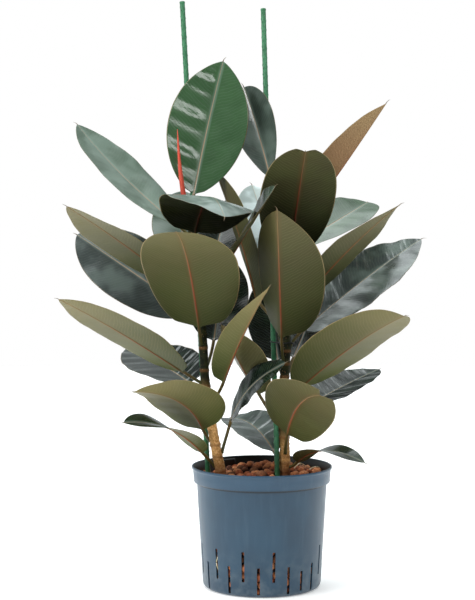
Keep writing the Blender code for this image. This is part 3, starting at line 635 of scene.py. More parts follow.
def tie_end(foot, angle, phase):
    """One wire end: a helix along its way out, whose radius opens out towards its tip."""
    outward = np.array([math.cos(angle), math.sin(angle), 0.0])
    sideways = np.array([-math.sin(angle), math.cos(angle), 0.0])
    share = np.linspace(0, 1, 34)
    wind = phase + share * 3.2 * math.pi
    spread = 0.9 + 2.6 * smooth_step(share, 0.7, 1.0)
    path = foot + outward * 6.0 * share[:, None] + sideways * (spread * np.cos(wind))[:, None]
    path = path + UPWARD * (spread * np.sin(wind) - 3.5 * share ** 2)[:, None]
    return close_rings(along_path(path, np.full(len(path), 0.85), 8, UPWARD))


def build_tie(stem, mat):
    """A wire tie: a loop round the stake and the stem, and two ends twisted together."""
    height = TIE_HEIGHTS[stem]
    first, second = stake_centre(stem, height), stem_centre(stem, height)
    near = float(stem_radius(stem, height)) + 1.4
    path, angle = tie_path(first, second, STAKE_RADIUS + 1.0, near)
    foot = second + np.array([math.cos(angle), math.sin(angle), 0.0]) * (near + 0.2)
    ends = [tie_end(foot, angle, phase) for phase in (0.0, math.pi)]
    points, quads, tris = join([(*tie_loop(path), np.zeros((0, 3), int)), *ends])
    settle(make_piece(f"{stem}_wire_tie", points, quads, [mat], tris), "tie_wire", f"{stem}_tie")


def build_sheath(stem, mat):
    """A bud sheath: a slender spindle, radius(share, turn) with one rolled overlap.

    The overlap is a step that winds half a turn round the spindle from foot to tip.
    """
    foot, tip = (np.array(p, float) for p in SHEATHS[stem])
    share = np.linspace(0, 1, 70)
    body = np.interp(share, (0, 0.06, 0.14, 0.45, 0.8, 0.97, 1.0), (2.9, 3.7, 4.0, 3.2, 1.6, 0.6, 0.2))
    sides = 32
    turn = turns_of(sides)
    wound = (turn[None] + 2.2 + share[:, None] * 2.0) % (2 * math.pi)
    step = 0.35 * (wound / (2 * math.pi)) - 0.18
    ridges = 0.06 * np.sin(9 * turn)[None]
    radius = body[:, None] * (1 + 0.5 * step + 0.5 * ridges)
    bend = np.array([-2.6, 0.5, 0.0]) * np.sin(share * math.pi)[:, None]
    path = foot + (tip - foot) * share[:, None] + bend
    points, quads, tris = close_rings(along_path(path, radius, sides))
    marks = np.zeros((len(points), 3))
    marks[:len(share) * sides, 0] = np.repeat(share, sides)
    marks[:len(share) * sides, 1] = (wound / (2 * math.pi)).ravel()
    marks[-1, 0] = 1.0
    piece = make_piece(f"{stem}_coral_sheath", points, quads, [mat], tris, marks={"sheath": marks})
    settle(piece, "bud_sheath", f"{stem}_bud_sheath")


# ------------------------------------------------------------ pot
def pot_columns():
    """Angles of the wall's columns: each slot in two, the wall between slots in eight."""
    pitch = 360.0 / SLOT_COUNT
    start = SLOT_FIRST - SLOT_WIDTH / 2 + pitch * np.arange(SLOT_COUNT)[:, None]
    inside = np.array([0.0, 0.5, 1.0]) * SLOT_WIDTH
    between = SLOT_WIDTH + (pitch - SLOT_WIDTH) * np.arange(1, 8) / 8
    return np.radians((start + np.concatenate([inside, between])[None]).ravel() - 90.0)


def slot_span(index):
    """Lowest and highest edge of a slot: every other one is high, counted both ways."""
    index = np.asarray(index)
    high = np.where(index <= SLOT_COUNT // 2, index, index - SLOT_COUNT) % 2 == 1
    bottom = np.where(high, SLOT_HIGH[0], SLOT_LOW[0])
    top = np.where(high, SLOT_HIGH[1], SLOT_LOW[1])
    short = index == SHORT_SLOT
    return np.where(short, SLOT_SHORT[0], bottom), np.where(short, SLOT_SHORT[1], top)


def slot_cells(low, high, columns):
    """Which cells of the wall, between two rows of heights, are open slots."""
    index, place = np.divmod(np.arange(columns), columns // SLOT_COUNT)
    bottom, top = slot_span(index)
    middle = (low + high)[:, None] / 2
    inside = (middle > bottom[None]) & (middle < top[None])
    return inside & (place < 2)[None] & (low > 2.0)[:, None]


def build_pot(mats):
    """The pot: a profile turned about the axis, with cells left out at the slots.

    Outer and inner skins are one long profile from the foot to the rim and back down to
    the floor; four walls close each slot between the two skins.
    """
    outer, inner = np.array(POT_OUTER, float), np.array(POT_INNER, float)
    profile = np.vstack([outer, inner])
    angles = pot_columns()
    rows, columns = len(profile), len(angles)
    grid = np.zeros((rows, columns, 3))
    grid[..., 0] = profile[:, :1] * np.cos(angles)
    grid[..., 1] = profile[:, :1] * np.sin(angles)
    grid[..., 2] = profile[:, 1:]
    turn = np.angle(np.exp(1j * (angles - math.radians(GAUGE_TURN))))
    held = np.abs(turn) < math.radians(GAUGE_REACH)
    bracket = (grid[..., 2] > GAUGE_LOW) & (grid[..., 2] < GAUGE_HIGH)
    bracket &= np.arange(rows)[:, None] > len(outer)
    inward = -np.array([math.cos(math.radians(GAUGE_TURN)), math.sin(math.radians(GAUGE_TURN)), 0])
    grid += (bracket & held[None])[..., None] * inward * GAUGE_DEPTH
    quads = grid_quads(rows, columns)
    low, high = profile[:-1, 1], profile[1:, 1]
    steep = np.abs(high - low) > 0.9
    is_open = slot_cells(np.minimum(low, high), np.maximum(low, high), columns) & steep[:, None]
    cells = np.arange((rows - 1) * columns).reshape(rows - 1, columns)
    material = np.where(np.arange(rows - 1) < len(outer) + 1, 0, 1)[:, None] + 0 * cells
    first = np.arange(len(profile))[:, None] * columns + np.arange(columns)[None]
    walls = slot_walls(outer, inner, first)
    closed = ~is_open
    all_quads = np.vstack([quads[closed], np.array(walls)])
    index = np.concatenate([material[closed], np.zeros(len(walls), int)])
    piece = make_piece("slotted_pot", grid, all_quads, mats, indices=index)
    tidy_mesh(piece, 50.0)
    settle(piece, "pot_plastic", "pot")


def slot_walls(outer, inner, first):
    """The quads between the two skins round every slot; first numbers the grid's points."""
    walls = []
    columns = first.shape[1]
    heights = {round(h, 2): k for k, h in enumerate(outer[:, 1])}
    back = {round(h, 2): len(outer) + k for k, h in enumerate(inner[:, 1])}
    for index in range(SLOT_COUNT):
        bottom, top = (float(edge) for edge in slot_span(index))
        left = index * (columns // SLOT_COUNT)
        right = left + 2
        levels = [h for h in heights if bottom <= h <= top and h in back]
        levels.sort()
        for a, b in zip(levels[:-1], levels[1:]):
            o1, o2, i1, i2 = heights[a], heights[b], back[a], back[b]
            walls.append((first[o1, left], first[o2, left], first[i2, left], first[i1, left]))
            walls.append((first[o1, right], first[i1, right], first[i2, right], first[o2, right]))
        for k in (left, left + 1):
            o, i = heights[bottom], back[bottom]
            walls.append((first[o, k], first[i, k], first[i, k + 1], first[o, k + 1]))
            o, i = heights[top], back[top]
            walls.append((first[o, k], first[o, k + 1], first[i, k + 1], first[i, k]))
    return walls


def tidy_mesh(piece, sharp=180.0):
    """Merge doubles, turn every face outward and keep edges crisp past an angle."""
    work = bmesh.new()
    work.from_mesh(piece.data)
    bmesh.ops.remove_doubles(work, verts=work.verts, dist=1e-6)
    bmesh.ops.recalc_face_normals(work, faces=work.faces)
    for edge in work.edges:
        edge.smooth = edge.calc_face_angle(0.0) < math.radians(sharp)
    work.to_mesh(piece.data)
    work.free()


# ------------------------------------------------------------ clay pebbles
def wall_inside(height):
    """Inner radius of the pot at a height."""
    rows = np.array(POT_INNER, float)[::-1]
    return np.interp(height, rows[1:, 1], rows[1:, 0])


def bed_height(x, y):
    """Mean level of the pebbles: heaped behind the middle, low at the left."""
    heap = np.exp(-((x - BED_HEAP_AT[0]) ** 2 + (y - BED_HEAP_AT[1]) ** 2) / BED_HEAP_SPREAD ** 2)
    return BED_LEVEL + BED_HEAP * heap + 0.03 * x


def push_off_stems(spots, radii):
    """Move the pebbles sideways, in place, until they clear the stems and the stakes."""
    for stem in STEM_PATHS:
        for axis, thick in ((stem_centre(stem, spots[:, 2].clip(113, 300)), 9.2),
                            (stake_centre(stem, spots[:, 2]), 4.4)):
            off = spots[:, :2] - axis[:, :2]
            far = np.linalg.norm(off, axis=1)
            short = np.clip(thick + radii - far, 0, None) * (spots[:, 2] > 20)
            spots[:, :2] += off / np.maximum(far, 1e-6)[:, None] * short[:, None]


def pebble_places(sizes, rng):
    """Centres and radii of the pebbles on top and behind the slots.

    They start on sunflower spirals and are pushed apart for a few rounds, and kept
    inside the wall, outside the stems and stakes, and under the top of the bed.
    """
    top = []
    for layer in range(2):
        k = np.arange(TOP_PEBBLES) + 0.5
        reach = np.sqrt(k / TOP_PEBBLES) * 97.0
        turn = k * GOLDEN_TURN + layer
        top.append(np.stack([reach * np.cos(turn), reach * np.sin(turn), 0 * k + layer], -1))
    top = np.vstack(top)
    side = []
    for ring, height in enumerate(np.arange(*SIDE_LEVELS)):
        k = np.arange(SIDE_PEBBLES)
        turn = (k + 0.5 * (ring % 2)) * 2 * math.pi / SIDE_PEBBLES
        turn = turn + rng.normal(0, 0.02, SIDE_PEBBLES)
        side.append(np.stack([85 * np.cos(turn), 85 * np.sin(turn), 0 * turn + height], -1))
    side = np.vstack(side)
    side = side + rng.normal(0, 1.2, side.shape)
    radii = rng.uniform(*sizes, len(top) + len(side))
    radii[len(top):] = rng.uniform(5.6, 7.4, len(side))
    spots = np.vstack([top, side])
    on_top = np.arange(len(spots)) < len(top)
    drop = np.append(top[:, 2] * 9.5, np.zeros(len(side))) + rng.uniform(-1.5, 2.5, len(spots))
    for _ in range(70):
        level = bed_height(spots[:, 0], spots[:, 1]) - radii - drop + 5.0
        spots[:, 2] = np.where(on_top, level, spots[:, 2])
        gap = spots[:, None] - spots[None]
        apart = np.linalg.norm(gap, axis=-1) + np.eye(len(spots)) * 1e3
        need = (radii[:, None] + radii[None]) * 0.97 - apart
        push = np.where(need > 0, need, 0)[..., None] * gap / apart[..., None]
        spots += push.sum(axis=1) * 0.35
        push_off_stems(spots, radii)
        reach = np.linalg.norm(spots[:, :2], axis=1)
        limit = wall_inside(spots[:, 2]) - radii - 0.4
        over = np.where(on_top, reach > limit, True)
        scale = np.where(over, limit / np.maximum(reach, 1e-6), 1.0)
        spots[:, :2] *= scale[:, None]
    return spots, radii


def random_turns(count, rng):
    """Evenly random rotation matrices, from quaternions."""
    turns = rng.normal(0, 1, (count, 4))
    turns /= np.linalg.norm(turns, axis=1, keepdims=True)
    w, x, y, z = turns.T
    return np.array([
        [1 - 2 * (y * y + z * z), 2 * (x * y - z * w), 2 * (x * z + y * w)],
        [2 * (x * y + z * w), 1 - 2 * (x * x + z * z), 2 * (y * z - x * w)],
        [2 * (x * z - y * w), 2 * (y * z + x * w), 1 - 2 * (x * x + y * y)]])


def pebble_shapes(radii, rng):
    """Rings of each pebble: a ball, radius(turn, rise) = size * (1 + a few slow waves)."""
    rise = np.radians(np.array([-90, -58, -28, 0, 28, 58, 90.0]))
    turn = turns_of(PEBBLE_SIDES)
    flat = np.cos(rise)[:, None]
    ball = np.stack([flat * np.cos(turn), flat * np.sin(turn), np.sin(rise)[:, None] + 0 * turn], -1)
    count = len(radii)
    wave = rng.normal(0, 1, (count, 4, 3)) * 2.2
    start = rng.uniform(0, 2 * math.pi, (count, 4, 1, 1))
    lumps = np.sin(np.einsum("ncd,rsd->ncrs", wave, ball) + start).sum(axis=1) * 0.055
    lumps[:, 0] = lumps[:, 0].mean(axis=1, keepdims=True)
    lumps[:, -1] = lumps[:, -1].mean(axis=1, keepdims=True)
    squash = rng.uniform(0.84, 1.12, (count, 1, 1, 3))
    shape = ball[None] * (1 + lumps[..., None]) * squash
    shape = np.einsum("dkn,nrsk->nrsd", random_turns(count, rng), shape)
    return shape * radii[:, None, None, None]


def build_pebbles(mats, sizes, rng):
    """Lumpy clay balls, flattened where they would touch the wall, and the mass under them."""
    spots, radii = pebble_places(sizes, rng)
    points = spots[:, None, None] + pebble_shapes(radii, rng)
    reach = np.linalg.norm(points[..., :2], axis=-1)
    limit = wall_inside(points[..., 2]) - 0.25
    points[..., :2] *= np.minimum(1.0, limit / np.maximum(reach, 1e-6))[..., None]
    points[..., 2] = np.maximum(points[..., 2], POT_FLOOR)
    count, rows, sides = points.shape[:3]
    each = rows * sides
    quads = grid_quads(rows, sides).reshape(1, -1, 4) + np.arange(count)[:, None, None] * each
    marks = np.repeat(rng.uniform(0, 1, (count, 3)), each, axis=0)
    # The third clay mark is each top pebble's height on its own ball, read as painted shade low down;
    # the pebbles behind the slots get 0.9, nearly unshaded.
    level = (points[..., 2] - spots[:, None, None, 2]) / radii[:, None, None]
    marks[:, 2] = np.where(np.repeat(spots[:, 2] > 100, each), level.ravel() * 0.5 + 0.5, 0.9)
    piece = make_piece("fired_clay_balls", points, quads, mats[:1], marks={"clay": marks})
    tidy_mesh(piece)
    settle(piece, "fired_clay", "clay_pebbles")
    points, quads, tris = bed_core()
    settle(make_piece("clay_bed_core", points, quads, mats[1:], tris), "fired_clay")


def bed_core():
    """The mass under the loose pebbles, dark with painted shade, a turned profile with a heaped top.

    Gives points, quads and end triangles.
    """
    sides = 48
    turn = turns_of(sides)
    rings = []
    for radius, height in ((80.0, 4.0), (84.0, 6.0), (86.0, 40.0), (89.0, 80.0), (92.0, 150.0)):
        rings.append(np.stack([radius * np.cos(turn), radius * np.sin(turn), 0 * turn + height], -1))
    for radius in (92.0, 78.0, 62.0, 46.0, 30.0, 14.0, 3.0):
        x, y = radius * np.cos(turn), radius * np.sin(turn)
        rings.append(np.stack([x, y, bed_height(x, y) - 17.0], -1))
    return close_rings(np.array(rings))


def build_roots(mat, rng):
    """Thin pale roots: short bent tubes, each a quadratic arc with a little wander.

    Two lie on the pebbles and one shows in a slot.
    """
    runs = (((50, -30, 190), (61, -36, 203), (68, -24, 192)),
            ((74, -26, 187), (85, -34, 197), (92, -20, 186)),
            ((-66.6, -61.8, 64), (-71.5, -66.2, 48), (-65.5, -62.0, 33)))
    tubes = []
    share = np.linspace(0, 1, 16)[:, None]
    for run in runs:
        path = arc(*(np.array(p, float) for p in run), share)
        path = path + np.cumsum(rng.normal(0, 0.25, path.shape), axis=0) * share * (1 - share) * 4
        tubes.append(close_rings(along_path(path, 1.0 - 0.5 * share[:, 0], 8, UPWARD)))
    points, quads, tris = join(tubes)
    settle(make_piece("pale_roots", points, quads, [mat], tris), "bark")


# ------------------------------------------------------------ materials
def mesh_marks(tree, name):
    """The three parts of a vector attribute of the mesh."""
    read = add_node(tree, "Attribute", out="Vector", attribute_name=name)
    return add_node(tree, "SeparateXYZ", (read,), None)


def patches(tree, spot, size_mm, low, high, start=0.0, end=1.0, detail=3.0, rough=0.5):
    """A share that goes softly from start to end over cloudy blotches size_mm across."""
    cloud = add_node(tree, "TexNoise", {"Vector": spot, "Scale": 1000.0 / size_mm,
                                        "Detail": detail, "Roughness": rough})
    return add_node(tree, "MapRange", (cloud, low, high, start, end), **SMOOTH)


def coats(tree, base, *layers):
    """Colours laid over a base one after another, each as far as its share says."""
    for share, over in layers:
        base = add_node(tree, "Mix", {0: share, 6: base, 7: over}, 2, data_type="RGBA")
    return base


def relief(tree, sockets, *layers):
    """Bumps laid one on another, each as deep in mm as it says where its height is one."""
    normal = None
    for height, depth_mm in layers:
        inputs = {"Height": height, "Distance": depth_mm * MM}
        if normal is not None:
            inputs["Normal"] = normal
        normal = add_node(tree, "Bump", inputs)
    tree.links.new(normal, sockets["Normal"])


def side_veins(tree, run, out, away):
    """Fine side veins that leave the midrib at about sixty degrees, and their relief.

    The real ones are about 3 mm apart; 5.5 mm is drawn so that they show.
    """
    bend = add_node(tree, "Math", (out, out), operation="MULTIPLY")
    bend = add_node(tree, "Math", (bend, 0.0035), operation="MULTIPLY")
    bend = add_node(tree, "Math", (out, 0.42, bend), operation="MULTIPLY_ADD")
    phase = add_node(tree, "Math", (run, bend), operation="SUBTRACT")
    spot = add_node(tree, "CombineXYZ", (run, away))
    wander = add_node(tree, "TexNoise", {"Vector": spot, "Scale": 0.06, "Detail": 1.0})
    wander = add_node(tree, "Math", (wander, 0.5), operation="SUBTRACT")
    phase = add_node(tree, "Math", (wander, 7.0, phase), operation="MULTIPLY_ADD")
    phase = add_node(tree, "Math", (phase, VEIN_SPACING), operation="DIVIDE")
    cell = add_node(tree, "Math", (phase,), operation="FRACT")
    off = add_node(tree, "Math", (cell, 0.5), operation="SUBTRACT")
    off = add_node(tree, "Math", (off,), operation="ABSOLUTE")
    fade = add_node(tree, "MapRange", (out, 2.0, 9.0), **SMOOTH)
    line = add_node(tree, "MapRange", (off, 0.03, 0.14, 1.0, 0.0), **SMOOTH)
    rib = add_node(tree, "MapRange", (off, 0.0, 0.5), **SMOOTH)
    return (add_node(tree, "Math", (line, fade), operation="MULTIPLY"),
            add_node(tree, "Math", (rib, fade), operation="MULTIPLY"))


def midrib_share(tree, out, share, widths, soft, full):
    """How much of the midrib's colour shows: full over its width, which narrows to the tip."""
    reach = add_node(tree, "MapRange", (share, 0.0, 1.0, *widths), **SMOOTH)
    past = add_node(tree, "Math", (out, reach), operation="SUBTRACT")
    return add_node(tree, "MapRange", (past, -soft, 0.3, full, 0.0), **SMOOTH)


def wax_gloss(tree, run, out, away, gloss):
    """Specular level of the wax: half the gloss, and where it is dull, rubbed streaks.

    The streaks are noise stretched along the side veins, about 7 mm apart.
    """
    lane = add_node(tree, "Math", (out, -0.5, run), operation="MULTIPLY_ADD")
    lane = add_node(tree, "Math", (lane, 7.0), operation="DIVIDE")
    along = add_node(tree, "Math", (away, 60.0), operation="DIVIDE")
    lane = add_node(tree, "CombineXYZ", (lane, along))
    rub = add_node(tree, "TexNoise", {"Vector": lane, "Scale": 1.0, "Detail": 3.0})
    rub = add_node(tree, "MapRange", (rub, 0.5, 0.72, 0.0, 0.9), **SMOOTH)
    dull = add_node(tree, "Math", (gloss, 1.0), operation="MINIMUM")
    dull = add_node(tree, "Math", (1.0, dull), operation="SUBTRACT")
    rub = add_node(tree, "Math", (rub, dull), operation="MULTIPLY")
    return add_node(tree, "Math", (gloss, 0.5, rub), operation="MULTIPLY_ADD")


def leaf_upper_material(settings):
    """Living rubber plant leaf, upper side: a waxed skin over very dark green.

    The wax gives a clear, slightly broken gloss, and the side veins show as fine ribs. A paler
    band beside the midrib is a painted highlight, and the pale wax on the palest leaves also
    paints the reflection of the bright room.
    """
    mat, tree, sockets = new_material("waxed_leaf_upper_side", 0.25, IOR=1.5)
    run, away, share = mesh_marks(tree, "blade")
    edge, _, green = mesh_marks(tree, "edge")
    _, bloom, gloss = mesh_marks(tree, "hue")
    spot = add_node(tree, "TexCoord", out="Object")
    out = add_node(tree, "Math", (away,), operation="ABSOLUTE")
    cloud = patches(tree, spot, 45.0, 0.3, 0.7, detail=2.0)
    green = add_node(tree, "Math", (cloud, 0.3, green), operation="MULTIPLY_ADD")
    green = add_node(tree, "Math", (green, 0.15), operation="SUBTRACT", use_clamp=True)
    # Pale wax and painted reflection of the bright room, in cloudy patches.
    cloud = add_node(tree, "MapRange", (cloud, 0.1, 0.9, 0.6, 1.3), **SMOOTH)
    bloom = add_node(tree, "Math", (bloom, cloud), operation="MULTIPLY")
    veins, ribs = side_veins(tree, run, out, away)
    veins = add_node(tree, "Math", (veins, 0.1), operation="MULTIPLY")
    # Painted highlight: a paler band on one side of the midrib, where the groove's curve would catch
    # the light.
    painted_rib_highlight = add_node(tree, "MapRange", (out, 1.0, 5.5, 0.3, 0.0), **SMOOTH)
    one_side = add_node(tree, "MapRange", (away, -6.0, 1.0), **SMOOTH)
    painted_rib_highlight = add_node(tree, "Math", (painted_rib_highlight, one_side), operation="MULTIPLY")
    margin = add_node(tree, "MapRange", (edge, 0.978, 0.992, 0.0, 0.7), **SMOOTH)
    base = coats(tree, settings.upper_dark, (green, settings.upper_light),
                 (bloom, settings.upper_wax_and_sheen), (veins, linear("#7f8f84")),
                 (painted_rib_highlight, linear("#93a79d")),
                 (midrib_share(tree, out, share, (1.15, 0.35), 0.3, 0.8), settings.upper_rib),
                 (margin, settings.margin))
    tree.links.new(base, sockets["Base Color"])
    tree.links.new(patches(tree, spot, 16.0, 0.3, 0.7, 0.15, 0.26), sockets["Roughness"])
    tree.links.new(wax_gloss(tree, run, out, away, gloss), sockets["Specular IOR Level"])
    dimples = add_node(tree, "TexNoise", {"Vector": spot, "Scale": 1000.0 / 7.0})
    relief(tree, sockets, (ribs, 0.04), (dimples, 0.015))
    return mat


def leaf_under_material(settings):
    """Living rubber plant leaf, under side: duller olive skin with a red raised midrib.

    It has less wax, so its gloss is wide and soft, and the side veins are pale lines. A paler
    tip and a darker, greener base are painted light and shade, as is a darker midrib on dark leaves.
    """
    mat, tree, sockets = new_material("olive_leaf_under_side", 0.5, IOR=1.42,
                                      Specular_IOR_Level=0.28)
    run, away, share = mesh_marks(tree, "blade")
    # light: each leaf's lightness, its own olive together with painted light and shade for how much
    # light reaches it.
    edge, light, _ = mesh_marks(tree, "edge")
    brown, _, _ = mesh_marks(tree, "hue")
    spot = add_node(tree, "TexCoord", out="Object")
    out = add_node(tree, "Math", (away,), operation="ABSOLUTE")
    cloud = patches(tree, spot, 38.0, 0.3, 0.7, 0.0, 0.22)
    brown = add_node(tree, "Math", (brown, 0.8), operation="MULTIPLY")
    # Painted shade: darker and greener towards the base, more on lighter leaves.
    foot = add_node(tree, "MapRange", (share, 0.0, 0.55, 0.5, 0.0), **SMOOTH)
    foot = add_node(tree, "Math", (foot, light), operation="MULTIPLY")
    # Painted light: paler towards the tip, more on lighter leaves.
    head = add_node(tree, "MapRange", (share, 0.45, 1.0, 0.0, 0.6), **SMOOTH)
    head = add_node(tree, "Math", (head, light), operation="MULTIPLY")
    veins, ribs = side_veins(tree, run, out, away)
    veins = add_node(tree, "Math", (veins, 0.09), operation="MULTIPLY")
    flush = add_node(tree, "MapRange", (out, 1.0, 8.0, 0.12, 0.0), **SMOOTH)
    tan = add_node(tree, "MapRange", (share, 0.3, 0.95), **SMOOTH)
    olive = add_node(tree, "MapRange", (share, 0.0, 0.14, 0.8, 0.0), **SMOOTH)
    # Painted shade: the red midrib turns darker on the leaves whose under side is painted dark.
    dark = add_node(tree, "MapRange", (light, 0.0, 0.3, 0.7, 0.0), **SMOOTH)
    red = coats(tree, settings.under_rib, (tan, linear("#8a7048")), (olive, linear("#6b5a30")),
                (dark, linear("#47180f")))
    margin = add_node(tree, "MapRange", (edge, 0.972, 0.99), **SMOOTH)
    base = coats(tree, settings.under_dark, (light, settings.under_light),
                 (cloud, linear("#3f4c22")), (brown, linear("#9b7350")),
                 (foot, linear("#46602a")), (head, linear("#92855c")),
                 (veins, linear("#b0a47a")), (flush, linear("#8a5236")),
                 (midrib_share(tree, out, share, (1.45, 0.4), 0.35, 0.88), red),
                 (margin, settings.margin))
    tree.links.new(base, sockets["Base Color"])
    dimples = add_node(tree, "TexNoise", {"Vector": spot, "Scale": 1000.0 / 5.0})
    relief(tree, sockets, (ribs, 0.06), (dimples, 0.015))
    return mat


def petiole_material():
    """Living petiole: a smooth round stalk, olive green, a little red towards the blade."""
    mat, tree, sockets = new_material("smooth_olive_petiole", 0.42, IOR=1.4)
    share = mesh_marks(tree, "blade")[2]
    spot = add_node(tree, "TexCoord", out="Object")
    streak = add_node(tree, "TexNoise", {"Vector": spot, "Scale": 250.0, "Detail": 3.0})
    base = coats(tree, linear("#4a4a22"),
                 (add_node(tree, "MapRange", (share, -0.9, 0.0), **SMOOTH), linear("#66542c")),
                 (add_node(tree, "MapRange", (share, 0.9, 1.0), **SMOOTH), linear("#6b5a44")),
                 (add_node(tree, "MapRange", (streak, 0.5, 0.8, 0.0, 0.4), **SMOOTH),
                  linear("#6f6a3a")))
    tree.links.new(base, sockets["Base Color"])
    relief(tree, sockets, (streak, 0.08))
    return mat


def bark_material(settings):
    """Young stem: smooth green skin above, corky tan bark with ring scars below."""
    mat, tree, sockets = new_material("ringed_young_bark", 0.62, Specular_IOR_Level=0.25)
    green, near, _ = mesh_marks(tree, "bark")
    spot = add_node(tree, "TexCoord", out="Object")
    fleck = add_node(tree, "TexNoise", {"Vector": spot, "Scale": 1000.0 / 3.0, "Detail": 5.0,
                                        "Roughness": 0.65})
    light = add_node(tree, "MapRange", (fleck, 0.35, 0.7), **SMOOTH)
    height = add_node(tree, "SeparateXYZ", (spot,), 2)
    # A darker red-brown band low on the stem, fading out by 202 mm up.
    tint_share = add_node(tree, "MapRange", (height, 0.178, 0.202, 0.75, 0.0), **SMOOTH)
    young = coats(tree, linear("#151a08"),
                  (patches(tree, spot, 9.0, 0.35, 0.65, detail=4.0), linear("#2f3212")))
    scar = add_node(tree, "MapRange", (near, 0.05, 0.4, 0.55, 0.0), **SMOOTH)
    dots = add_node(tree, "TexVoronoi", {"Vector": spot, "Scale": 260.0})
    dots = add_node(tree, "MapRange", (dots, 0.10, 0.22, 0.6, 0.0), **SMOOTH)
    base = coats(tree, settings.bark_dark, (light, settings.bark_light),
                 (tint_share, linear("#6e3f30")), (green, young), (scar, linear("#8a5c34")),
                 (dots, linear("#b58a5a")))
    tree.links.new(base, sockets["Base Color"])
    relief(tree, sockets, (fleck, 0.5))
    return mat


def stake_material():
    """Steel plant stake in a moulded green polyethylene coat: soft gloss, dark nubs."""
    mat, tree, sockets = new_material("green_polyethylene_stake_coat", 0.42, IOR=1.5)
    nub = mesh_marks(tree, "nub")[0]
    spot = add_node(tree, "TexCoord", out="Object")
    nub = add_node(tree, "MapRange", (nub, 0.25, 0.8, 0.0, 0.85), **SMOOTH)
    base = coats(tree, linear("#2a6843"), (patches(tree, spot, 20.0, 0.3, 0.7), linear("#3c7d56")),
                 (nub, linear("#12281c")))
    tree.links.new(base, sockets["Base Color"])
    grain = add_node(tree, "TexNoise", {"Vector": spot, "Scale": 1000.0 / 1.5, "Detail": 3.0})
    relief(tree, sockets, (grain, 0.05))
    return mat


def wire_material():
    """Black PVC-coated tie wire: dull and a little scuffed."""
    mat, tree, sockets = new_material("black_pvc_tie_wire", 0.5)
    spot = add_node(tree, "TexCoord", out="Object")
    scuff = add_node(tree, "TexNoise", {"Vector": spot, "Scale": 400.0, "Detail": 3.0})
    worn = add_node(tree, "MapRange", (scuff, 0.5, 0.8), **SMOOTH)
    base = coats(tree, linear("#151817"), (worn, linear("#3a3d38")))
    tree.links.new(base, sockets["Base Color"])
    relief(tree, sockets, (scuff, 0.05))
    return mat


def sheath_material(settings):
    """Living bud sheath: thin coral skin with long streaks, deeper red at its foot."""
    mat, tree, sockets = new_material("coral_bud_sheath_skin", 0.38, IOR=1.42,
                                      Subsurface_Weight=0.15, Subsurface_Scale=0.002)
    share, wound, _ = mesh_marks(tree, "sheath")
    lines = add_node(tree, "Math", (wound, 14.0), operation="MULTIPLY")
    lines = add_node(tree, "Math", (lines,), operation="FRACT")
    lines = add_node(tree, "Math", (lines, 0.5), operation="SUBTRACT")
    lines = add_node(tree, "Math", (lines,), operation="ABSOLUTE")
    base = coats(tree, linear("#b8322a"),
                 (add_node(tree, "MapRange", (share, 0.0, 0.5), **SMOOTH), settings.sheath),
                 (add_node(tree, "MapRange", (lines, 0.0, 0.5, 0.0, 0.35), **SMOOTH),
                  linear("#f08a70")))
    tree.links.new(base, sockets["Base Color"])
    relief(tree, sockets, (lines, 0.15))
    return mat


def pot_material(settings):
    """Injection-moulded polypropylene, fine-grained: satin slate blue, dusty low down.

    The corner under the collar is in shade; the collar is a little lighter.
    """
    mat, tree, sockets = new_material("moulded_polypropylene_slate", 0.36, IOR=1.49,
                                      Sheen_Weight=0.12, Sheen_Roughness=0.4)
    spot = add_node(tree, "TexCoord", out="Object")
    height = add_node(tree, "SeparateXYZ", (spot,), 2)
    collar = add_node(tree, "MapRange", (height, 0.160, 0.168, 0.0, 0.35), **SMOOTH)
    tall = add_node(tree, "Mapping", {"Vector": spot, "Scale": (1.0, 1.0, 0.12)})
    streaks = add_node(tree, "TexNoise", {"Vector": tall, "Scale": 1000.0 / 9.0, "Detail": 4.0})
    worn = add_node(tree, "MapRange", (streaks, 0.45, 0.8, 0.0, 0.12), **SMOOTH)
    low = add_node(tree, "MapRange", (height, 0.0, 0.085, 0.35, 0.0), **SMOOTH)
    dust = patches(tree, spot, 14.0, 0.4, 0.7, detail=5.0)
    dust = add_node(tree, "Math", (dust, low), operation="MULTIPLY")
    # Painted shade: a dark band in the corner under the collar.
    collar_shade = add_node(tree, "Math", (height, COLLAR_CORNER * MM), operation="SUBTRACT")
    collar_shade = add_node(tree, "Math", (collar_shade,), operation="ABSOLUTE")
    collar_shade = add_node(tree, "MapRange", (collar_shade, 0.001, 0.0022, 0.9, 0.0), **SMOOTH)
    base = coats(tree, settings.pot_low,
                 (patches(tree, spot, 60.0, 0.3, 0.7, detail=2.0), settings.pot_high),
                 (collar, linear("#2e4f69")), (worn, linear("#5f7483")),
                 (dust, linear("#6d7a80")), (collar_shade, linear("#0b1620")))
    tree.links.new(base, sockets["Base Color"])
    rough = add_node(tree, "MapRange", (streaks, 0.3, 0.7, 0.33, 0.44), **SMOOTH)
    tree.links.new(rough, sockets["Roughness"])
    grain = add_node(tree, "TexNoise", {"Vector": spot, "Scale": 1000.0 / 0.9})
    relief(tree, sockets, (grain, 0.05))
    return mat


def pot_inner_material():
    """The pot's inner skin: the same plastic near black, part wet algae stain, part painted shade."""
    mat, tree, sockets = new_material("damp_pot_inner_skin", 0.4)
    spot = add_node(tree, "TexCoord", out="Object")
    lighter_patch = patches(tree, spot, 12.0, 0.35, 0.65, detail=5.0)
    # Painted shade: the inside is coloured near black, with slightly lighter patches.
    base = coats(tree, linear("#030708"), (lighter_patch, linear("#081214")))
    tree.links.new(base, sockets["Base Color"])
    dents = add_node(tree, "TexNoise", {"Vector": spot, "Scale": 1000.0 / 3.0, "Detail": 3.0})
    relief(tree, sockets, (dents, 0.2))
    return mat


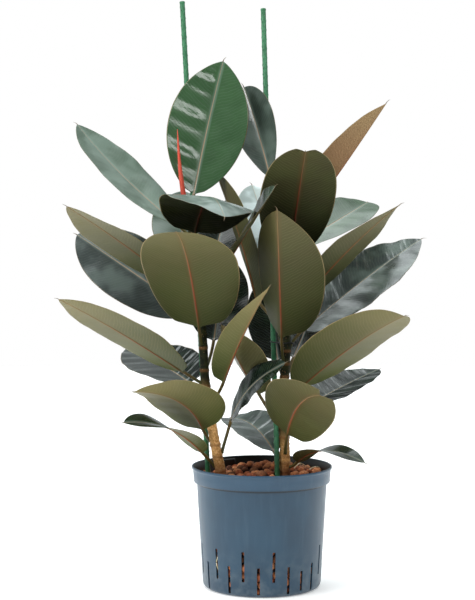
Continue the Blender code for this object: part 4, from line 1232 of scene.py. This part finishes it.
def clay_material():
    """Expanded clay pebbles, kiln-fired: matt red-brown skin, pitted, some wet, painted shade low."""
    mat, tree, sockets = new_material("kiln_fired_clay", 0.85)
    tone, wet, level = mesh_marks(tree, "clay")
    spot = add_node(tree, "TexCoord", out="Object")
    wet = add_node(tree, "MapRange", (wet, 0.72, 0.9, 0.0, 0.75), **SMOOTH)
    pits = add_node(tree, "TexNoise", {"Vector": spot, "Scale": 1000.0 / 2.4, "Detail": 5.0,
                                       "Roughness": 0.65})
    pitted = add_node(tree, "MapRange", (pits, 0.5, 0.72, 0.0, 0.7), **SMOOTH)
    algae = patches(tree, spot, 7.0, 0.6, 0.75, 0.0, 0.55, 2.0)
    # Painted shade: the lower part of each top pebble darkens, where the balls shade each other.
    shade = add_node(tree, "MapRange", (level, 0.38, 0.92, 0.95, 0.0), **SMOOTH)
    base = coats(tree, linear("#a04c28"), (tone, linear("#ea9c68")), (wet, linear("#3d2d22")),
                 (pitted, linear("#4a2c20")), (algae, linear("#2c2f22")),
                 (shade, linear("#160d09")))
    tree.links.new(base, sockets["Base Color"])
    relief(tree, sockets, (pits, 1.2))
    return mat


def core_material():
    """The mass of pebbles under the top ones: clay coloured nearly black as painted shade."""
    mat, tree, sockets = new_material("clay_core_painted_shade", 0.95)
    spot = add_node(tree, "TexCoord", out="Object")
    # Lighter patches over the painted shade.
    tint_share = patches(tree, spot, 8.0, 0.35, 0.65, detail=4.0)
    base = coats(tree, linear("#17110d"), (tint_share, linear("#3a2419")))
    tree.links.new(base, sockets["Base Color"])
    lumps = add_node(tree, "TexNoise", {"Vector": spot, "Scale": 125.0, "Detail": 3.0})
    relief(tree, sockets, (lumps, 4.0))
    return mat


def root_material():
    """Dry surface roots: pale straw, fibrous."""
    mat, tree, sockets = new_material("dry_pale_root", 0.8)
    spot = add_node(tree, "TexCoord", out="Object")
    fibre = add_node(tree, "TexNoise", {"Vector": spot, "Scale": 500.0, "Detail": 4.0})
    light = add_node(tree, "MapRange", (fibre, 0.35, 0.65), **SMOOTH)
    base = coats(tree, linear("#d2c08f"), (light, linear("#f4ead0")))
    tree.links.new(base, sockets["Base Color"])
    relief(tree, sockets, (fibre, 0.3))
    return mat


def floor_material():
    """A studio light table: plain, pale and matt, with a faint glow of its own."""
    mat, tree, sockets = new_material("plain_pale_floor", 0.9, Emission_Strength=0.3)
    spot = add_node(tree, "TexCoord", out="Object")
    tint = add_node(tree, "TexNoise", {"Vector": spot, "Scale": 2.5, "Detail": 3.0})
    base = coats(tree, linear("#f2f2f2"), (tint, linear("#f5f5f5")))
    tree.links.new(base, sockets["Base Color"])
    return mat


# ------------------------------------------------------------ settings and operators
def colour(name, description, default):
    """A colour property whose default is a hex colour."""
    return bpy.props.FloatVectorProperty(name=name, description=description, subtype="COLOR",
                                         size=4, min=0.0, max=1.0, default=linear(default))


def length(name, description, default_mm):
    """A length property, kept in metres."""
    return bpy.props.FloatProperty(name=name, description=description, unit="LENGTH",
                                   default=default_mm * MM, min=0.0)


class RubberLeafSettings(bpy.types.PropertyGroup):
    """Colours of the leaves."""
    upper_dark: colour("Upper dark", "Darkest green of the upper side", "#101a14")
    upper_light: colour("Upper light", "Lightest green of the upper side", "#3d5c3c")
    # Pale wax on the upper side, and the painted reflection of the bright room.
    upper_wax_and_sheen: colour("Upper bloom", "Pale wax bloom on the palest leaves", "#d2e0e0")
    upper_rib: colour("Upper midrib", "Midrib seen from above", "#a58a70")
    under_dark: colour("Under dark", "Darkest olive of the under side", "#2a2a14")
    under_light: colour("Under light", "Lightest olive of the under side", "#6f6a42")
    under_rib: colour("Under midrib", "Red of the raised midrib", "#8e4a30")
    margin: colour("Margin", "Thin pale edge of the blade", "#97845a")
    drip_tip: length("Drip tip", "Length of the thin tip of a blade", 8.5)
    seed: bpy.props.IntProperty(name="Seed", description="Picks the waves", default=11, min=0)


class RubberWoodSettings(bpy.types.PropertyGroup):
    """Colours of the stems and the bud sheaths."""
    bark_dark: colour("Bark dark", "Darker bark", "#b98445")
    bark_light: colour("Bark light", "Lighter bark", "#efbf80")
    sheath: colour("Sheath", "Coral of the bud sheath", "#e0503c")


class RubberPotSettings(bpy.types.PropertyGroup):
    """Colours of the pot and sizes of the pebbles."""
    pebble_small: length("Smallest pebble", "Radius of the smallest clay pebble", 6.6)
    pebble_large: length("Largest pebble", "Radius of the largest clay pebble", 9.2)
    pot_low: colour("Slate", "Main colour of the pot", "#1d3b50")
    pot_high: colour("Light slate", "Lighter patches of the pot", "#23445a")


class RubberStageSettings(bpy.types.PropertyGroup):
    """Camera and light."""
    lens: bpy.props.FloatProperty(name="Lens", description="Focal length in millimetres",
                                  default=90.83, min=10.0)
    distance: bpy.props.FloatProperty(name="Distance", description="Camera to the pot's axis",
                                      default=2.3676, unit="LENGTH")
    key: bpy.props.FloatProperty(name="Key light", description="Power of the key light",
                                 default=40.0, unit="POWER")
    sun: bpy.props.FloatProperty(name="Ceiling light", description="Strength of the wide light",
                                 default=1.3)


class RUBBERPLANT_OT_pot(bpy.types.Operator):
    """Build the slotted pot"""
    bl_idname = "rubberplant.pot"
    bl_label = "Pot"

    def execute(self, context):
        build_pot([pot_material(context.scene.rubber_pot), pot_inner_material()])
        return {"FINISHED"}


class RUBBERPLANT_OT_pebbles(bpy.types.Operator):
    """Fill the pot with clay pebbles and lay a few roots on them"""
    bl_idname = "rubberplant.pebbles"
    bl_label = "Clay pebbles"

    def execute(self, context):
        rng = np.random.default_rng(5)
        settings = context.scene.rubber_pot
        sizes = (settings.pebble_small / MM, settings.pebble_large / MM)
        build_pebbles([clay_material(), core_material()], sizes, rng)
        build_roots(root_material(), rng)
        return {"FINISHED"}


class RUBBERPLANT_OT_stems(bpy.types.Operator):
    """Build both stems"""
    bl_idname = "rubberplant.stems"
    bl_label = "Stems"

    def execute(self, context):
        mat = bark_material(context.scene.rubber_wood)
        rng = np.random.default_rng(3)
        for stem in STEM_PATHS:
            build_stem(stem, mat, rng)
        return {"FINISHED"}


class RUBBERPLANT_OT_stakes(bpy.types.Operator):
    """Build both stakes and their wire ties"""
    bl_idname = "rubberplant.stakes"
    bl_label = "Stakes and ties"

    def execute(self, context):
        coat, wire = stake_material(), wire_material()
        for stem in STAKE_ENDS:
            build_stake(stem, coat)
            build_tie(stem, wire)
        return {"FINISHED"}


class RUBBERPLANT_OT_sheaths(bpy.types.Operator):
    """Build the bud sheaths"""
    bl_idname = "rubberplant.sheaths"
    bl_label = "Bud sheaths"

    def execute(self, context):
        mat = sheath_material(context.scene.rubber_wood)
        for stem in SHEATHS:
            build_sheath(stem, mat)
        return {"FINISHED"}


class RUBBERPLANT_OT_leaves(bpy.types.Operator):
    """Build every leaf"""
    bl_idname = "rubberplant.leaves"
    bl_label = "Leaves"

    def execute(self, context):
        settings = context.scene.rubber_leaf
        mats = [leaf_upper_material(settings), leaf_under_material(settings), petiole_material()]
        for number, leaf in enumerate(LEAVES):
            rng = np.random.default_rng(settings.seed + number)
            build_leaf(leaf, mats, settings.drip_tip / MM, rng)
        return {"FINISHED"}


class RUBBERPLANT_OT_stage(bpy.types.Operator):
    """Lay the floor and set the lights and the camera"""
    bl_idname = "rubberplant.stage"
    bl_label = "Stage"

    def execute(self, context):
        settings = context.scene.rubber_stage
        build_floor()
        build_lights(settings)
        build_camera(settings)
        return {"FINISHED"}


def build_floor():
    """A round pale floor, 8 m across."""
    turn = turns_of(64)
    points = [np.stack([r * np.cos(turn), r * np.sin(turn), 0 * turn], -1)
              for r in (1.0, 400.0, 4000.0)]
    floor = make_piece("pale_floor", points, grid_quads(3, 64), [floor_material()])


def aim(thing, target):
    """Turn a lamp or camera to look at a place."""
    way = Vector(target) - thing.location
    thing.rotation_euler = way.to_track_quat("-Z", "Y").to_euler()


def build_lights(settings):
    """Two soft boxes in front, a wide ceiling light, and the world."""
    boxes = (("key_box", (-2.3, -1.8, 2.0), 1.2, 1.6, 0.85),
             ("fill_box", (0.95, -1.8, 2.35), 1.05, 0.95, 0.65))
    for name, spot, wide, tall, share in boxes:
        data = bpy.data.lights.new(name, "AREA")
        data.shape = "RECTANGLE"
        data.size, data.size_y = wide, tall
        data.energy = settings.key * share
        lamp = bpy.data.objects.new(name, data)
        lamp.location = spot
        bpy.context.scene.collection.objects.link(lamp)
        aim(lamp, (0.0, 0.0, 0.45))
    data = bpy.data.lights.new("ceiling_sun", "SUN")
    data.energy, data.angle = settings.sun, math.radians(50.0)
    lamp = bpy.data.objects.new("ceiling_sun", data)
    lamp.location = (-2.4, -1.4, 2.8)
    bpy.context.scene.collection.objects.link(lamp)
    aim(lamp, (0.0, 0.0, 0.0))
    build_world()
    bpy.context.scene.view_settings.view_transform = "Standard"


def build_world():
    """A room: grey in front, paler behind, with a bright roof light behind the plant.

    The camera itself sees plain white.
    """
    world = bpy.data.worlds.new("pale_world")
    bpy.context.scene.world = world
    world.use_nodes = True
    tree = world.node_tree
    tree.nodes.clear()
    seen = add_node(tree, "LightPath", out="Is Camera Ray")
    way = add_node(tree, "TexCoord", out="Generated")
    depth = add_node(tree, "SeparateXYZ", (way,), 1)
    sweep = add_node(tree, "MapRange", (depth, -0.42, 0.06, 0.1, 0.66), **SMOOTH)
    roof = add_node(tree, "VectorMath", (way, (-0.15, 0.3, 0.94)), 1, operation="DOT_PRODUCT")
    roof = add_node(tree, "MapRange", (roof, 0.83, 0.98, 0.0, 3.4), **SMOOTH)
    level = add_node(tree, "Math", (sweep, roof), operation="ADD")
    cool = [add_node(tree, "Math", (level, part), operation="MULTIPLY") for part in (0.92, 0.99)]
    light = add_node(tree, "CombineColor", (*cool, level))
    light = coats(tree, light, (seen, (1.0, 1.0, 1.0, 1.0)))
    back = add_node(tree, "Background", {"Color": light, "Strength": 1.0})
    add_node(tree, "OutputWorld", {"Surface": back}, None)


def build_camera(settings):
    """A long lens a little above the middle of the plant, tipped down 2.5 degrees."""
    data = bpy.data.cameras.new("front_camera")
    data.lens = settings.lens
    data.sensor_width = 36.0
    camera = bpy.data.objects.new("front_camera", data)
    camera.location = (-0.0382, -settings.distance, 0.5538)
    camera.rotation_euler = (math.pi / 2 - 0.04385, 0.0, 0.0)
    bpy.context.scene.collection.objects.link(camera)
    bpy.context.scene.camera = camera


class RUBBERPLANT_PT_panel(bpy.types.Panel):
    """Lists the build steps"""
    bl_idname = "RUBBERPLANT_PT_panel"
    bl_label = "Rubber plant"
    bl_space_type = "VIEW_3D"
    bl_region_type = "UI"
    bl_category = "Rubber plant"

    def draw(self, context):
        for step in STEPS:
            self.layout.operator(step.bl_idname)


STEPS = (RUBBERPLANT_OT_pot, RUBBERPLANT_OT_pebbles, RUBBERPLANT_OT_stems,
         RUBBERPLANT_OT_stakes, RUBBERPLANT_OT_sheaths, RUBBERPLANT_OT_leaves,
         RUBBERPLANT_OT_stage)
GROUPS = {"rubber_leaf": RubberLeafSettings, "rubber_wood": RubberWoodSettings,
          "rubber_pot": RubberPotSettings, "rubber_stage": RubberStageSettings}


def register():
    """Register the settings, the operators and the panel."""
    for group in GROUPS.values():
        bpy.utils.register_class(group)
    for label, group in GROUPS.items():
        setattr(bpy.types.Scene, label, bpy.props.PointerProperty(type=group))
    for step in (*STEPS, RUBBERPLANT_PT_panel):
        bpy.utils.register_class(step)


def unregister():
    """Take everything off again."""
    for step in reversed((*STEPS, RUBBERPLANT_PT_panel)):
        bpy.utils.unregister_class(step)
    for label, group in GROUPS.items():
        delattr(bpy.types.Scene, label)
        bpy.utils.unregister_class(group)


def main():
    """Register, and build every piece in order."""
    register()
    for step in STEPS:
        group, name = step.bl_idname.split(".")
        getattr(getattr(bpy.ops, group), name)()


if __name__ == "__main__":
    main()
